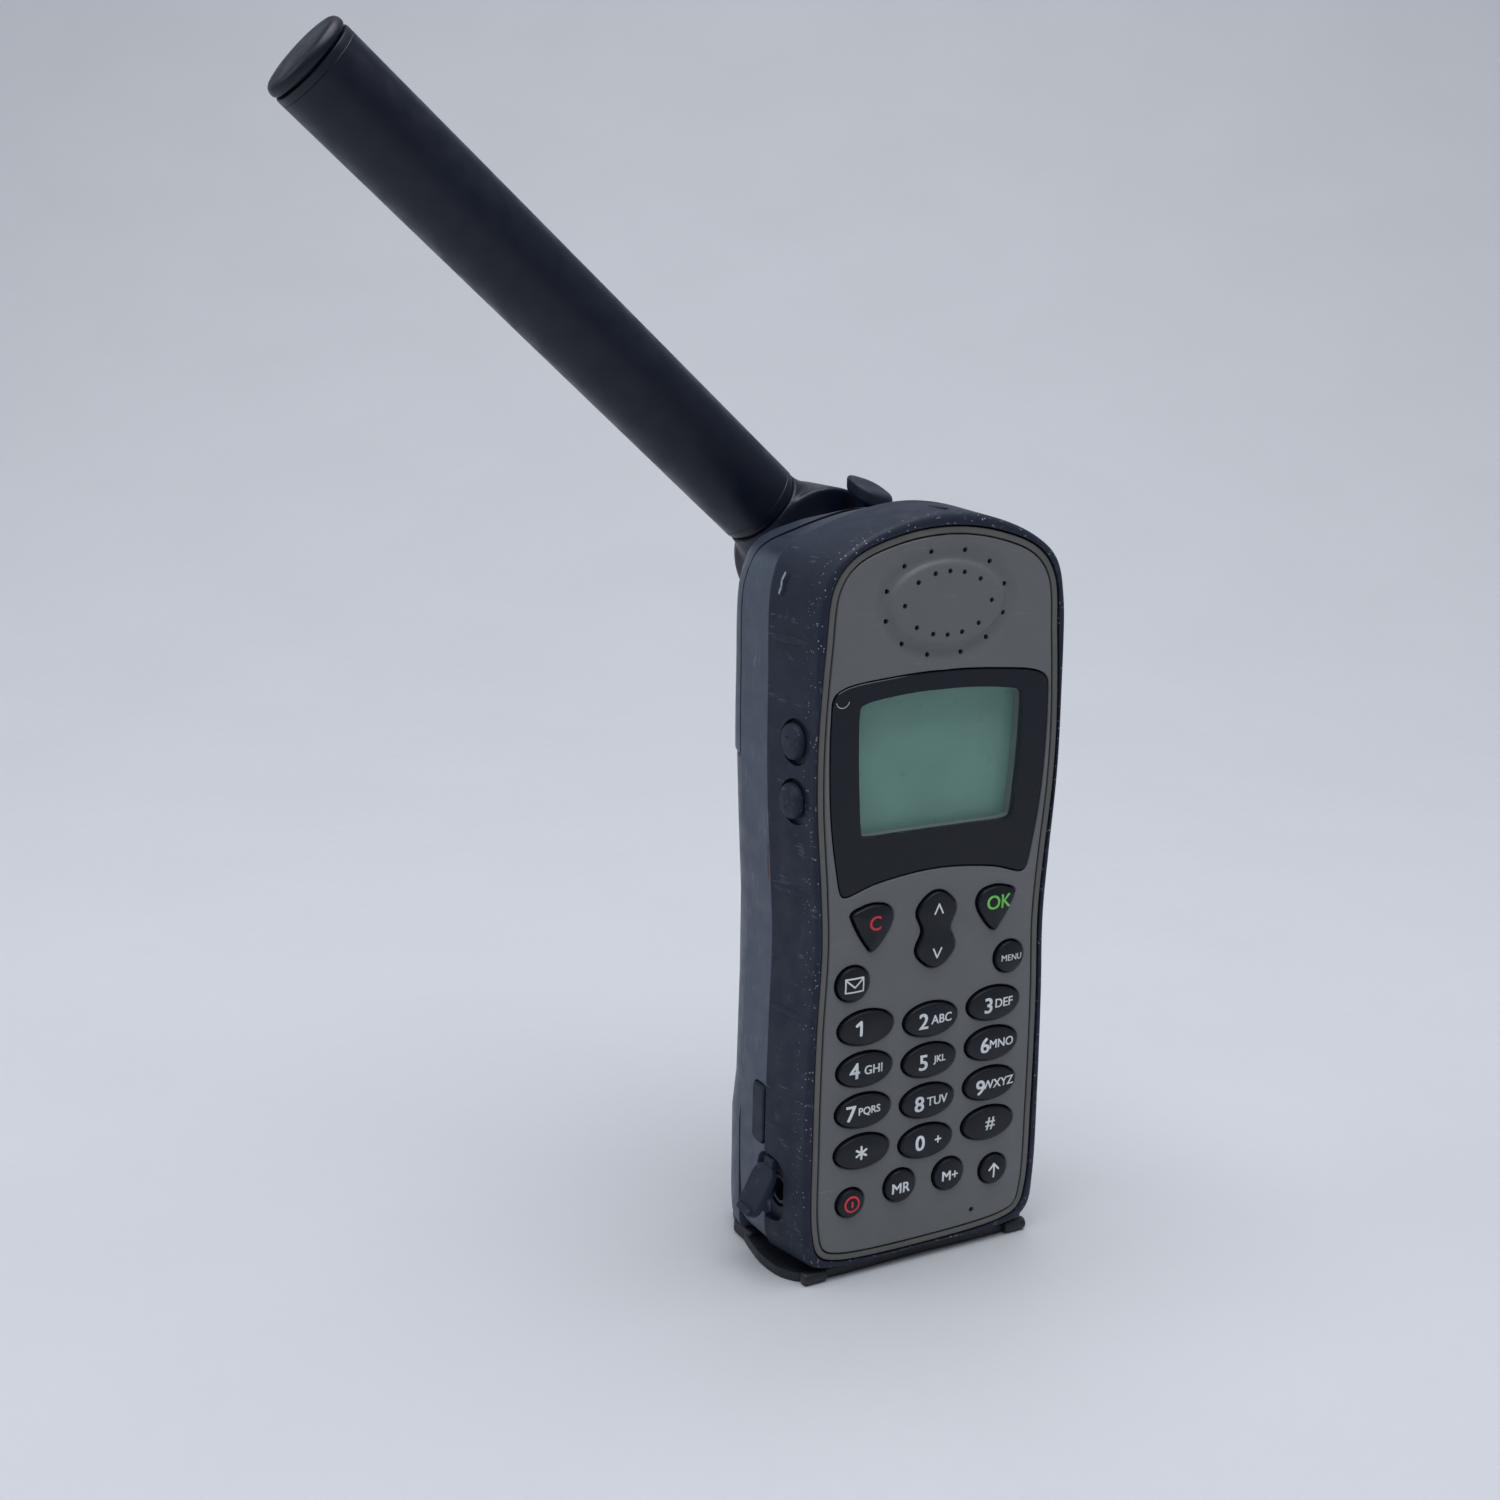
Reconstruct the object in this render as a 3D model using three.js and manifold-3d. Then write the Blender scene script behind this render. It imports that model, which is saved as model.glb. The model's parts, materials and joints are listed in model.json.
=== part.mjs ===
// Satellite phone with a rubber-edged body, separate keys and a swinging tubular antenna.
// Millimetres, +Z up. In the design frame x is right and z is up as seen from the front, and y is
// the depth behind the face plate's front. The finished group is moved so that the origin is the
// centre of the foot.
import * as THREE from 'three';
import { mergeVertices } from 'three/addons/utils/BufferGeometryUtils.js';
import Module from 'manifold-3d';

const wasm = await Module();
wasm.setup();

// ---------------------------------------------------------------- driving dimensions
const GAP = 0.3;                 // between neighbouring pieces
const FOOT_CENTRE_Y = 20;        // depth of the foot's centre behind the front plane
const BIG = 400;                 // larger than the phone, for trimming blocks

const PLATE_THICK = 1.5;
const RING_WIDTH = 1.6;          // grey border round the plate
const WEB = [1.8, 3.0];          // front shell's web, behind the plate
const SHELL_BACK = 12.7;
const BEZEL = [-0.2, 13.0];
const REAR = [13.3, 22.8];
const REAR_WALL = 1.6;
const SIDE_WALL = 3.2;
const BACK = [23.2, 39.0];       // battery and upper back
const BACK_SPLIT_Z = 105.8;      // between battery and upper back

const KEY = { proud: 1.1, back: 3.3, gap: 0.35 };
const COLUMN = 15.5;
const ROW_TOP_Z = 54.5;
const ROW_PITCH = 8.9;
const MIDDLE_DROP = 0.9;         // the middle column sits lower
const DIGIT = [6.6, 3.75];       // half axes of a digit key
const SMALL = [4.0, 3.65];       // half axes of a small key

const HINGE = { x: -2.7, z: 142.7 };
const ANTENNA_Y = 49.2;
const ANTENNA_TILT = -48.6 * Math.PI / 180;   // from straight up, towards -X
const TUBE_R = 9.1;
const TUBE_WALL = 1.5;
const SEAM = 15;                 // from the hinge axis to the tube's end
const SEAM_GAP = 1.2;
const TUBE_END = 141.8;
const CAP_THICK = 2.2;
const DRUM_R = 14.6;
const SHAFT_R = 3.7;

// Half outlines (x, z), from the top of the phone to its bottom, joined by a smooth curve.
const BODY_HALF = [
  [0, 158.4], [9, 157.2], [20.5, 152.9], [27.2, 147.8], [30, 140.5], [31, 122], [31, 104],
  [30.2, 86], [29.6, 72], [30.2, 54], [30.8, 34], [30.8, 14], [29.8, 5.8], [26.5, 3.1], [0, 2.6],
];
const PLATE_HALF = [
  [0, 152.1], [11, 150.8], [20.4, 147.2], [24, 142.6], [25.4, 131], [26.5, 113], [26.3, 100],
  [25, 84], [24.4, 72], [25.1, 54], [25.3, 30], [24.9, 12], [23.6, 7.6], [20.5, 6.2], [0, 5.2],
];
const LENS_HALF = [
  [0, 125.6], [12, 125.1], [22.6, 123.7], [24.8, 122.2], [25.3, 118], [25.3, 108], [24.7, 98],
  [23.3, 88.5], [21.9, 82.8], [21.0, 82.4], [14, 84.3], [0, 85.7],
];
// Plan outlines (x, y), from the front to the back.
const BACK_PLAN = [[31, 23.2], [30.4, 27], [28.2, 32], [24.6, 36.6], [20, 38.7], [14, 39], [0, 39]];
const FOOT_PLAN = [
  [0, 1.0], [24, 1.0], [28.2, 2.4], [30.4, 6.5], [30.9, 13], [30, 20], [28.3, 27], [25.4, 35.5],
  [21.5, 38.8], [0, 39.2],
];

// ---------------------------------------------------------------- solids
function solid(geometry) {
  const bare = geometry.clone();
  bare.deleteAttribute('normal');
  bare.deleteAttribute('uv');
  const merged = mergeVertices(bare, 1e-4);
  const vertProperties = new Float32Array(merged.attributes.position.array);
  const corners = Array.from(merged.index.array);
  const faces = [];
  for (let i = 0; i < corners.length; i += 3) {
    const [a, b, c] = corners.slice(i, i + 3);
    if (a !== b && b !== c && c !== a) faces.push(a, b, c);
  }
  const triVerts = new Uint32Array(faces);
  return new wasm.Manifold(new wasm.Mesh({ numProp: 3, vertProperties, triVerts }));
}

function geometryOf(body) {
  const mesh = body.getMesh();
  const geometry = new THREE.BufferGeometry();
  geometry.setAttribute('position', new THREE.BufferAttribute(new Float32Array(mesh.vertProperties), 3));
  geometry.setIndex(new THREE.BufferAttribute(new Uint32Array(mesh.triVerts), 1));
  const faceted = geometry.toNonIndexed();
  faceted.computeVertexNormals();
  return faceted;
}

function cut(body, ...tools) {
  return tools.reduce((rest, tool) => rest.subtract(tool), body);
}

function join(body, ...others) {
  return others.reduce((sum, other) => sum.add(other), body);
}

function block(x, y, z) {
  const box = new THREE.BoxGeometry(x[1] - x[0], y[1] - y[0], z[1] - z[0]);
  box.translate((x[0] + x[1]) / 2, (y[0] + y[1]) / 2, (z[0] + z[1]) / 2);
  return solid(box);
}

function slabY(y) {
  return block([-BIG, BIG], y, [-BIG, BIG]);
}

const AXES = {
  front: new THREE.Matrix4().makeBasis(
    new THREE.Vector3(1, 0, 0), new THREE.Vector3(0, 0, 1), new THREE.Vector3(0, -1, 0)),
  up: new THREE.Matrix4(),
  side: new THREE.Matrix4().makeBasis(
    new THREE.Vector3(0, 1, 0), new THREE.Vector3(0, 0, 1), new THREE.Vector3(1, 0, 0)),
};

// Extrudes an outline: 'front' outlines are (x, z) along y, 'up' are (x, y) along z, and 'side'
// are (y, z) along x. An edge of { size, thick, steps } rounds both ends inside the outline.
function prism(shape, view, from, to, edge = null) {
  const thick = edge ? edge.thick : 0;
  const geometry = new THREE.ExtrudeGeometry(shape, {
    depth: to - from - 2 * thick,
    curveSegments: 4,
    bevelEnabled: Boolean(edge),
    bevelThickness: thick,
    bevelSize: edge ? edge.size : 0,
    bevelOffset: edge ? -edge.size : 0,
    bevelSegments: edge ? edge.steps : 0,
  });
  geometry.translate(0, 0, view === 'front' ? thick - to : from + thick);
  geometry.applyMatrix4(AXES[view]);
  return solid(geometry);
}

function rod(radius, from, to, axis, at, sides = 24) {
  const geometry = new THREE.CylinderGeometry(radius, radius, to - from, sides);
  geometry.translate(0, (from + to) / 2, 0);
  if (axis === 'x') geometry.rotateZ(-Math.PI / 2);
  if (axis === 'z') geometry.rotateX(Math.PI / 2);
  geometry.translate(at[0], at[1], at[2]);
  return solid(geometry);
}

// Turns a profile of (radius, height) about the y axis, or about z.
function turned(profile, axis, sides = 32) {
  const geometry = new THREE.LatheGeometry(profile.map(([r, h]) => new THREE.Vector2(r, h)), sides);
  if (axis === 'z') geometry.rotateX(Math.PI / 2);
  return solid(geometry);
}

// ---------------------------------------------------------------- outlines
// The whole smooth outline of a mirrored half, moved outwards by grow.
function outline(half, grow = 0, steps = 2) {
  const left = half.slice(1, -1).reverse().map(([x, z]) => [-x, z]);
  const points = [...half, ...left].map(([x, z]) => new THREE.Vector3(x, z, 0));
  const curve = new THREE.CatmullRomCurve3(points, true, 'centripetal');
  const count = points.length * steps;
  const side = Math.sign(half[0][1] - half[half.length - 1][1]);
  const moved = [];
  for (let i = 0; i < count; i += 1) {
    const here = curve.getPoint(i / count);
    const along = curve.getTangent(i / count);
    moved.push(new THREE.Vector2(here.x - side * along.y * grow, here.y + side * along.x * grow));
  }
  return new THREE.Shape(moved);
}

// A straight-sided outline of a mirrored half.
function mirrored(half) {
  const left = half.slice().reverse().filter(([x]) => x > 0).map(([x, y]) => [-x, y]);
  return new THREE.Shape([...half, ...left].map(([x, y]) => new THREE.Vector2(x, y)));
}

function ellipse(cx, cz, rx, rz, sides = 16) {
  const points = [];
  for (let i = 0; i < sides; i += 1) {
    const angle = 2 * Math.PI * i / sides;
    points.push(new THREE.Vector2(cx + rx * Math.cos(angle), cz + rz * Math.sin(angle)));
  }
  return new THREE.Shape(points);
}

function roundedBox(cx, cz, width, height, radius) {
  const x = width / 2 - radius;
  const z = height / 2 - radius;
  const shape = new THREE.Shape();
  shape.absarc(cx + x, cz + z, radius, 0, Math.PI / 2);
  shape.absarc(cx - x, cz + z, radius, Math.PI / 2, Math.PI);
  shape.absarc(cx - x, cz - z, radius, Math.PI, 1.5 * Math.PI);
  shape.absarc(cx + x, cz - z, radius, 1.5 * Math.PI, 2 * Math.PI);
  return shape;
}

// C and OK keys: a rounded shield, mirrored by hand (-1 left, 1 right), grown by grow.
function shield(hand, grow) {
  const corners = [[20.1, 78.1], [15.1, 70.1], [9.7, 77.7], [14.2, 80.2]];
  const centre = [14.9, 76.6];
  const points = corners.map(([x, z]) => {
    const reach = Math.hypot(x - centre[0], z - centre[1]);
    const scale = (reach + grow) / reach;
    return new THREE.Vector3(
      hand * (centre[0] + (x - centre[0]) * scale), centre[1] + (z - centre[1]) * scale, 0);
  });
  const curve = new THREE.CatmullRomCurve3(points, true, 'catmullrom', 0.62);
  return new THREE.Shape(curve.getPoints(16).slice(0, -1).map((p) => new THREE.Vector2(p.x, p.y)));
}

// The up and down rocker: a tall pill with a slight waist.
function rockerShape(grow) {
  const points = [];
  const steps = 28;
  for (let i = 0; i < steps; i += 1) {
    const angle = 2 * Math.PI * i / steps;
    const z = (8.2 + grow) * Math.sin(angle);
    const width = 4.1 + 0.75 * Math.cos(Math.PI * (Math.abs(z) - 4.3) / 4.3);
    const round = Math.sqrt(Math.max(0, 1 - Math.pow(Math.abs(Math.sin(angle)), 5)));
    points.push(new THREE.Vector2(Math.sign(Math.cos(angle)) * (width + grow) * round, 72.8 + z));
  }
  return new THREE.Shape(points);
}

// ---------------------------------------------------------------- materials
const FINISHES = {
  plate_grey: ['#58585a', 0.55, 0.1],
  rubber: ['#1f2733', 0.75, 0],
  housing: ['#39424f', 0.6, 0],
  antenna_black: ['#141a24', 0.45, 0],
  key_black: ['#12151c', 0.5, 0],
  lens: ['#0d1118', 0.1, 0],
  lcd_green: ['#527470', 0.3, 0],
  black_plastic: ['#101216', 0.6, 0],
  board_green: ['#1d4a33', 0.6, 0],
  steel: ['#9a9da1', 0.35, 0.9],
  gold: ['#b8923c', 0.35, 0.9],
  white_plastic: ['#c9ccce', 0.6, 0],
};

const phone = new THREE.Group();
phone.position.y = -FOOT_CENTRE_Y;

function addPiece(name, body, finish, parent = phone) {
  const [color, roughness, metalness] = FINISHES[finish];
  const material = new THREE.MeshStandardMaterial({ color, roughness, metalness });
  const mesh = new THREE.Mesh(geometryOf(body), material);
  mesh.name = name;
  parent.add(mesh);
}

// ---------------------------------------------------------------- key layout
// Each key: name, and its outline as a function of how far it is grown.
function keyLayout() {
  const keys = [];
  const names = ['1', '2', '3', '4', '5', '6', '7', '8', '9', 'star', '0', 'hash'];
  names.forEach((name, i) => {
    const column = i % 3 - 1;
    const row = Math.floor(i / 3);
    const z = ROW_TOP_Z - row * ROW_PITCH - (column === 0 ? MIDDLE_DROP : 0);
    keys.push([name, (grow) => ellipse(column * COLUMN, z, DIGIT[0] + grow, DIGIT[1] + grow)]);
  });
  const small = { mail: [-19, 64.2], menu: [19, 64.2], power: [-17.9, 16.9], mr: [-6, 18.2],
    mplus: [6, 18.2], up: [17.9, 16.9] };
  Object.entries(small).forEach(([name, [x, z]]) => {
    keys.push([name, (grow) => ellipse(x, z, SMALL[0] + grow, SMALL[1] + grow, 14)]);
  });
  keys.push(['c', (grow) => shield(-1, grow)]);
  keys.push(['ok', (grow) => shield(1, grow)]);
  keys.push(['nav', rockerShape]);
  return keys;
}

// ---------------------------------------------------------------- front
const EAR = { z: 139, disc: [12.4, 8.4], dish: [16.6, 12.6], holes: [[14.2, 10.4], [10.1, 6.2]] };
const MICROPHONE = [13, 8.4];
const JACK = { y: 10.2, z: 17.8 };
const JACK_POCKET = { y: [6.3, 15.9], z: [11.4, 25.4], x: -28.9 };
const SLOT = { y: 15.8, z: 33, width: 4.6, height: 12.4 };
const SCREWS = [[-24.2, 30], [24.2, 30], [-24.2, 128], [24.2, 128]];
const DOOR = { half: 13, y: [4.2, 15], z: [0.3, 1.8] };
const VOLUME = { y: 6.4, r: 4.1, z: [113, 101.2] };

function soundHoles() {
  const holes = [];
  EAR.holes.forEach(([rx, rz]) => {
    for (let i = 0; i < 12; i += 1) {
      const angle = Math.PI * (i + (rx > 12 ? 0.5 : 0)) / 6;
      holes.push(ellipse(rx * Math.cos(angle), EAR.z + rz * Math.sin(angle), 0.5, 0.5, 6));
    }
  });
  holes.push(ellipse(MICROPHONE[0], MICROPHONE[1], 0.6, 0.6, 6));
  return holes;
}

function facePlate() {
  const edge = { size: 0.35, thick: 0.35, steps: 1 };
  let plate = prism(outline(PLATE_HALF), 'front', 0, PLATE_THICK, edge);
  const dish = cut(
    prism(ellipse(0, EAR.z, ...EAR.dish, 28), 'front', -1, 0.35),
    prism(ellipse(0, EAR.z, EAR.disc[0], EAR.disc[1], 28), 'front', -2, 1));
  const disc = prism(ellipse(0, EAR.z, EAR.disc[0], EAR.disc[1], 28), 'front', -0.6, 1,
    { size: 0.6, thick: 0.5, steps: 1 });
  plate = join(cut(plate, dish), disc);
  const openings = keyLayout().map(([, shape]) => prism(shape(KEY.gap), 'front', -1, 3));
  soundHoles().forEach((shape) => openings.push(prism(shape, 'front', -1, 3)));
  openings.push(prism(outline(LENS_HALF, GAP), 'front', -1, 3));
  return cut(plate, ...openings);
}

function frontFrame() {
  const shell = cut(prism(outline(PLATE_HALF, RING_WIDTH), 'front', 0.1, SHELL_BACK),
    prism(outline(PLATE_HALF, GAP), 'front', -1, WEB[0]),
    prism(outline(PLATE_HALF, 0.2), 'front', WEB[1], SHELL_BACK + 1));
  const posts = SCREWS.map(([x, z]) => rod(2.6, 4.6, SHELL_BACK, 'y', [x, 0, z], 14));
  return cut(join(shell, ...posts),
    ...SCREWS.map(([x, z]) => rod(1.4, 6, SHELL_BACK + 1, 'y', [x, 0, z], 10)),
    prism(roundedBox(0, 107.3, 41, 30, 2), 'front', 0, 4),
    prism(roundedBox(0, 46.5, 47, 70, 4), 'front', 0, 4),
    prism(ellipse(0, EAR.z, 14.9, 11.1, 24), 'front', 0, 4),
    rod(1.5, 0, 4, 'y', [MICROPHONE[0], 0, MICROPHONE[1]], 12),
    rod(3.6, -30, -20, 'x', [0, JACK.y, JACK.z], 20),
    block([-10, 10], [5, 12], [2, 8]),
    ...VOLUME.z.map((z) => rod(2, -32, -24, 'x', [0, VOLUME.y, z], 16)));
}

function jackPocket() {
  const { y, z } = JACK_POCKET;
  const shape = roundedBox((y[0] + y[1]) / 2, (z[0] + z[1]) / 2, y[1] - y[0], z[1] - z[0], 3.5);
  return prism(shape, 'side', -33, JACK_POCKET.x);
}

function bezel() {
  const round = { size: 2.6, thick: 2.6, steps: 3 };
  const outer = prism(outline(BODY_HALF), 'front', BEZEL[0], BEZEL[1] + 3, round)
    .intersect(slabY([BEZEL[0] - 1, BEZEL[1]]));
  return cut(outer,
    prism(outline(PLATE_HALF, RING_WIDTH + GAP), 'front', -2, BEZEL[1] + 1),
    jackPocket(),
    rod(3.6, -33, -20, 'x', [0, JACK.y, JACK.z], 20),
    block([-11, 11], [4.6, 12.4], [0, 8]),
    ...VOLUME.z.map((z) => rod(VOLUME.r + GAP, -33, -26, 'x', [0, VOLUME.y, z])));
}

function slotRecess(grow) {
  const { y, z, width, height } = SLOT;
  return roundedBox(y, z, width + 2 * grow, height + 2 * grow, 1 + grow);
}

function rearHousing() {
  const shell = prism(outline(BODY_HALF, -0.4), 'front', ...REAR);
  const hollow = prism(outline(BODY_HALF, -0.4 - SIDE_WALL), 'front', REAR[0] - 1, REAR[1] - REAR_WALL);
  const posts = SCREWS.map(([x, z]) => rod(3, REAR[0], REAR[1] - 1, 'y', [x, 0, z], 16));
  const holes = SCREWS.flatMap(([x, z]) => [
    rod(1.45, 0, 30, 'y', [x, 0, z], 12),
    rod(2.6, REAR[1] - 1.9, 30, 'y', [x, 0, z], 16),
  ]);
  return cut(join(cut(shell, hollow), ...posts),
    ...holes,
    jackPocket(),
    rod(3.6, -33, -20, 'x', [0, JACK.y, JACK.z], 20),
    prism(slotRecess(0.35), 'side', -33, -29.2),
    rod(1.4, -33, -25, 'x', [0, SLOT.y, SLOT.z], 12),
    block([-7, 7], [20, 24], [48, 54]),
    rod(SHAFT_R + GAP, 12, 24, 'y', [HINGE.x, 0, HINGE.z]));
}

// ---------------------------------------------------------------- back
function backPlan(z) {
  return prism(mirrored([[0, BACK_PLAN[0][1]], ...BACK_PLAN]), 'up', ...z);
}

function upperBack() {
  const crown = new THREE.Shape();
  crown.moveTo(BACK[0], 100);
  crown.lineTo(BACK[1], 100);
  crown.lineTo(BACK[1], 148.2);
  crown.lineTo(37.6, 151.3);
  crown.lineTo(34.5, 153.2);
  crown.lineTo(29, 155.0);
  crown.lineTo(BACK[0], 157.6);
  const body = prism(outline(BODY_HALF, -0.6), 'front', ...BACK)
    .intersect(backPlan([BACK_SPLIT_Z + GAP, 170]))
    .intersect(prism(crown, 'side', -40, 40));
  const hollow = prism(roundedBox(0, 128, 46, 38, 8), 'front', BACK[0] - 1, 35);
  const boss = rod(9, BACK[0], BACK[1] - 1, 'y', [HINGE.x, 0, HINGE.z]);
  return cut(join(cut(body, hollow), boss),
    rod(SHAFT_R + GAP, 20, 45, 'y', [HINGE.x, 0, HINGE.z]),
    rod(9.2, BACK[1] - 1, 45, 'y', [HINGE.x, 0, HINGE.z]),
    block([-0.4, 6.4], [29.6, 36.6], [149, 165]),
    prism(roundedBox(2.9, 33, 12.4, 14, 3), 'up', 154.6, 165));
}

function batteryPack() {
  const half = [[0, BACK_SPLIT_Z], [30, BACK_SPLIT_Z], [29.5, 92], [28.7, 76], [28.8, 58],
    [29.4, 36], [30.4, 28], [30.5, 9], [30, 2.7], [0, 2.7]];
  const body = prism(mirrored(half), 'front', ...BACK).intersect(backPlan([0, 120]));
  return cut(body, block([-15, 15], [BACK[0] - 1, 25.4], [44, 92]));
}

function baseShoe() {
  const shoe = prism(outline(FOOT_PLAN), 'up', 0, 2.1);
  const knobs = [-1, 1].map((hand) => rod(1.35, -2.7, 2.7, 'x', [hand * 25, 1.6, 1.35], 14));
  const opening = block([-DOOR.half - 0.35, DOOR.half + 0.35], [3.6, DOOR.y[1] + 0.35], [-1, 4]);
  return cut(join(shoe, ...knobs), opening);
}

function releaseTab() {
  const tongue = prism(roundedBox(2.9, 34, 10.6, 9.4, 3), 'up', 155.6, 158.6,
    { size: 0.8, thick: 0.8, steps: 1 });
  return join(tongue, block([0.4, 5.6], [32.4, 35.6], [150.4, 156.2]));
}

// ---------------------------------------------------------------- antenna
// The antenna is drawn upright about its hinge: +Z runs along the tube and y is the hinge axis.
const SPIGOT_R = TUBE_R - TUBE_WALL - 0.35;

function antennaElbow() {
  const horn = turned([[0, 0], [14.5, 0], [13.8, 2.9], [11.7, 6.5], [9.8, 11.2], [TUBE_R, SEAM],
    [SPIGOT_R, SEAM], [SPIGOT_R, SEAM + 9], [0, SEAM + 9]], 'z').intersect(slabY([-TUBE_R, TUBE_R]));
  const drum = turned([[0, -TUBE_R], [DRUM_R, -TUBE_R], [DRUM_R, 4.6], [DRUM_R - 1.2, 7.2],
    [DRUM_R - 4, TUBE_R], [0, TUBE_R + 0.5]], 'y', 36);
  return cut(join(drum, horn), rod(SHAFT_R + GAP, -TUBE_R - 2, 2.3, 'y', [0, 0, 0]));
}

function antennaShaft() {
  const depth = (y) => y - ANTENNA_Y;
  return join(rod(SHAFT_R, depth(20), 1.9, 'y', [0, 0, 0]),
    rod(6, depth(18.5), depth(20.6), 'y', [0, 0, 0]));
}

function ringTurned(inner, outer, from, to) {
  return turned([[inner, from], [outer, from], [outer, to], [inner, to], [inner, from]], 'z');
}

function antennaCap() {
  const face = TUBE_END - CAP_THICK;
  return turned([[0, face - 6], [SPIGOT_R, face - 6], [SPIGOT_R, face], [TUBE_R, face],
    [TUBE_R, TUBE_END - 0.8], [TUBE_R - 0.8, TUBE_END], [0, TUBE_END]], 'z');
}

function buildAntenna() {
  const group = new THREE.Group();
  group.position.set(HINGE.x, ANTENNA_Y, HINGE.z);
  group.rotation.y = ANTENNA_TILT;
  phone.add(group);
  const tubeFoot = SEAM + SEAM_GAP;
  const tubeHead = TUBE_END - CAP_THICK - GAP;
  addPiece('antenna_elbow', antennaElbow(), 'antenna_black', group);
  addPiece('antenna_tube', ringTurned(TUBE_R - TUBE_WALL, TUBE_R, tubeFoot, tubeHead), 'antenna_black', group);
  addPiece('antenna_cap', antennaCap(), 'antenna_black', group);
  addPiece('antenna_base_ring', ringTurned(SPIGOT_R + 0.3, TUBE_R - 0.5, SEAM + 0.3, tubeFoot - 0.3),
    'rubber', group);
  addPiece('antenna_shaft', antennaShaft(), 'steel', group);
  addPiece('antenna_core', rod(5.2, SEAM + 12, TUBE_END - 12, 'z', [0, 0, 0], 16), 'gold', group);
}

// ---------------------------------------------------------------- headset socket
const COVER = { pivot: [-30, 24], open: 28 * Math.PI / 180, thick: [-30.9, -29.2] };

function jackCover() {
  const { y, z } = JACK_POCKET;
  const bottom = z[0] + 0.4;
  const top = COVER.pivot[1] - 1;
  const leafShape = roundedBox((y[0] + y[1]) / 2, (bottom + top) / 2, y[1] - y[0] - 0.8, top - bottom, 3);
  const strap = block([COVER.thick[0] + 0.3, COVER.thick[1] - 0.2], [9.5, 12.7], [top - 1, COVER.pivot[1]]);
  const leaf = join(prism(leafShape, 'side', ...COVER.thick), strap,
    rod(0.85, 9.5, 12.7, 'y', [COVER.pivot[0], 0, COVER.pivot[1]], 12),
    rod(1.7, COVER.thick[1] - 0.5, COVER.thick[1] + 1.7, 'x', [0, JACK.y, JACK.z], 14));
  return leaf.translate([-COVER.pivot[0], 0, -COVER.pivot[1]]);
}

function buildJack() {
  const barrel = join(rod(3.2, -28.6, -19, 'x', [0, JACK.y, JACK.z], 20),
    block([-22, -17.5], [7.2, 13.2], [14.6, 21]));
  addPiece('headset_jack', cut(barrel, rod(2.4, -30, -20.5, 'x', [0, JACK.y, JACK.z], 16)), 'black_plastic');
  const hinge = new THREE.Group();
  hinge.position.set(COVER.pivot[0], 0, COVER.pivot[1]);
  hinge.rotation.y = COVER.open;
  phone.add(hinge);
  addPiece('jack_cover', jackCover(), 'rubber', hinge);
}

// ---------------------------------------------------------------- inside
function mainBoard() {
  const board = prism(outline(PLATE_HALF, -2.5), 'front', 9.2, 10.4);
  return cut(board,
    block([-30, -16.5], [8, 12], [12, 24]),
    block([-10.5, 10.5], [8, 12], [0, 11]),
    ...SCREWS.map(([x, z]) => rod(3.1, 8, 12, 'y', [x, 0, z], 12)));
}

function keypadMat() {
  return cut(prism(roundedBox(0, 46.5, 45, 68, 3), 'front', 4.6, 5.8),
    ...SCREWS.map(([x, z]) => rod(3.1, 4, 7, 'y', [x, 0, z], 12)));
}

function buildInside() {
  addPiece('lcd_module', block([-22, 22], [3.4, 5.4], [91, 123.6]), 'lcd_green');
  addPiece('lcd_holder', block([-22.4, 22.4], [5.8, 8.6], [89.5, 124.4]), 'white_plastic');
  addPiece('keypad_mat', keypadMat(), 'rubber');
  addPiece('main_board', mainBoard(), 'board_green');
  addPiece('rf_shield', block([-18, 18], [10.8, 14], [32, 100]), 'steel');
  addPiece('earpiece_speaker', rod(7.5, 3.5, 7.2, 'y', [0, 0, EAR.z], 20), 'black_plastic');
  addPiece('microphone_capsule', rod(2.4, 3.4, 6.2, 'y', [MICROPHONE[0], 0, MICROPHONE[1]], 14), 'steel');
  addPiece('dock_connector', block([-9, 9], [5.3, 11.6], [2.5, 9.5]), 'black_plastic');
  addPiece('sim_holder', block([-9, 9], [23.1, 24.8], [64, 84]), 'steel');
  addPiece('battery_contacts', block([-6.6, 6.6], [20.4, 24.4], [48.4, 53.6]), 'gold');
  addPiece('hinge_washer', cut(rod(8.8, 38.3, 39.3, 'y', [HINGE.x, 0, HINGE.z]),
    rod(SHAFT_R + GAP, 30, 45, 'y', [HINGE.x, 0, HINGE.z])), 'steel');
  SCREWS.forEach(([x, z], i) => {
    const screw = join(rod(1.05, 6.5, 21.6, 'y', [x, 0, z], 10), rod(2.2, 21.3, 22.4, 'y', [x, 0, z], 14));
    addPiece(`housing_screw_${i + 1}`, screw, 'steel');
  });
}

// ---------------------------------------------------------------- small moving pieces
function slotPlug() {
  return join(prism(slotRecess(0), 'side', -31, -29.5),
    rod(1, -30, -26, 'x', [0, SLOT.y, SLOT.z], 12));
}

function volumeButton(z) {
  return join(rod(VOLUME.r, -31.5, -29.1, 'x', [0, VOLUME.y, z]),
    rod(1.6, -29.5, -26, 'x', [0, VOLUME.y, z], 14));
}

function buildKeys() {
  const edge = { size: 0.5, thick: 0.5, steps: 1 };
  keyLayout().forEach(([name, shape]) => {
    addPiece(`key_${name}`, prism(shape(0), 'front', -KEY.proud, KEY.back, edge), 'key_black');
  });
  addPiece('volume_up', volumeButton(VOLUME.z[0]), 'rubber');
  addPiece('volume_down', volumeButton(VOLUME.z[1]), 'rubber');
}

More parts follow.
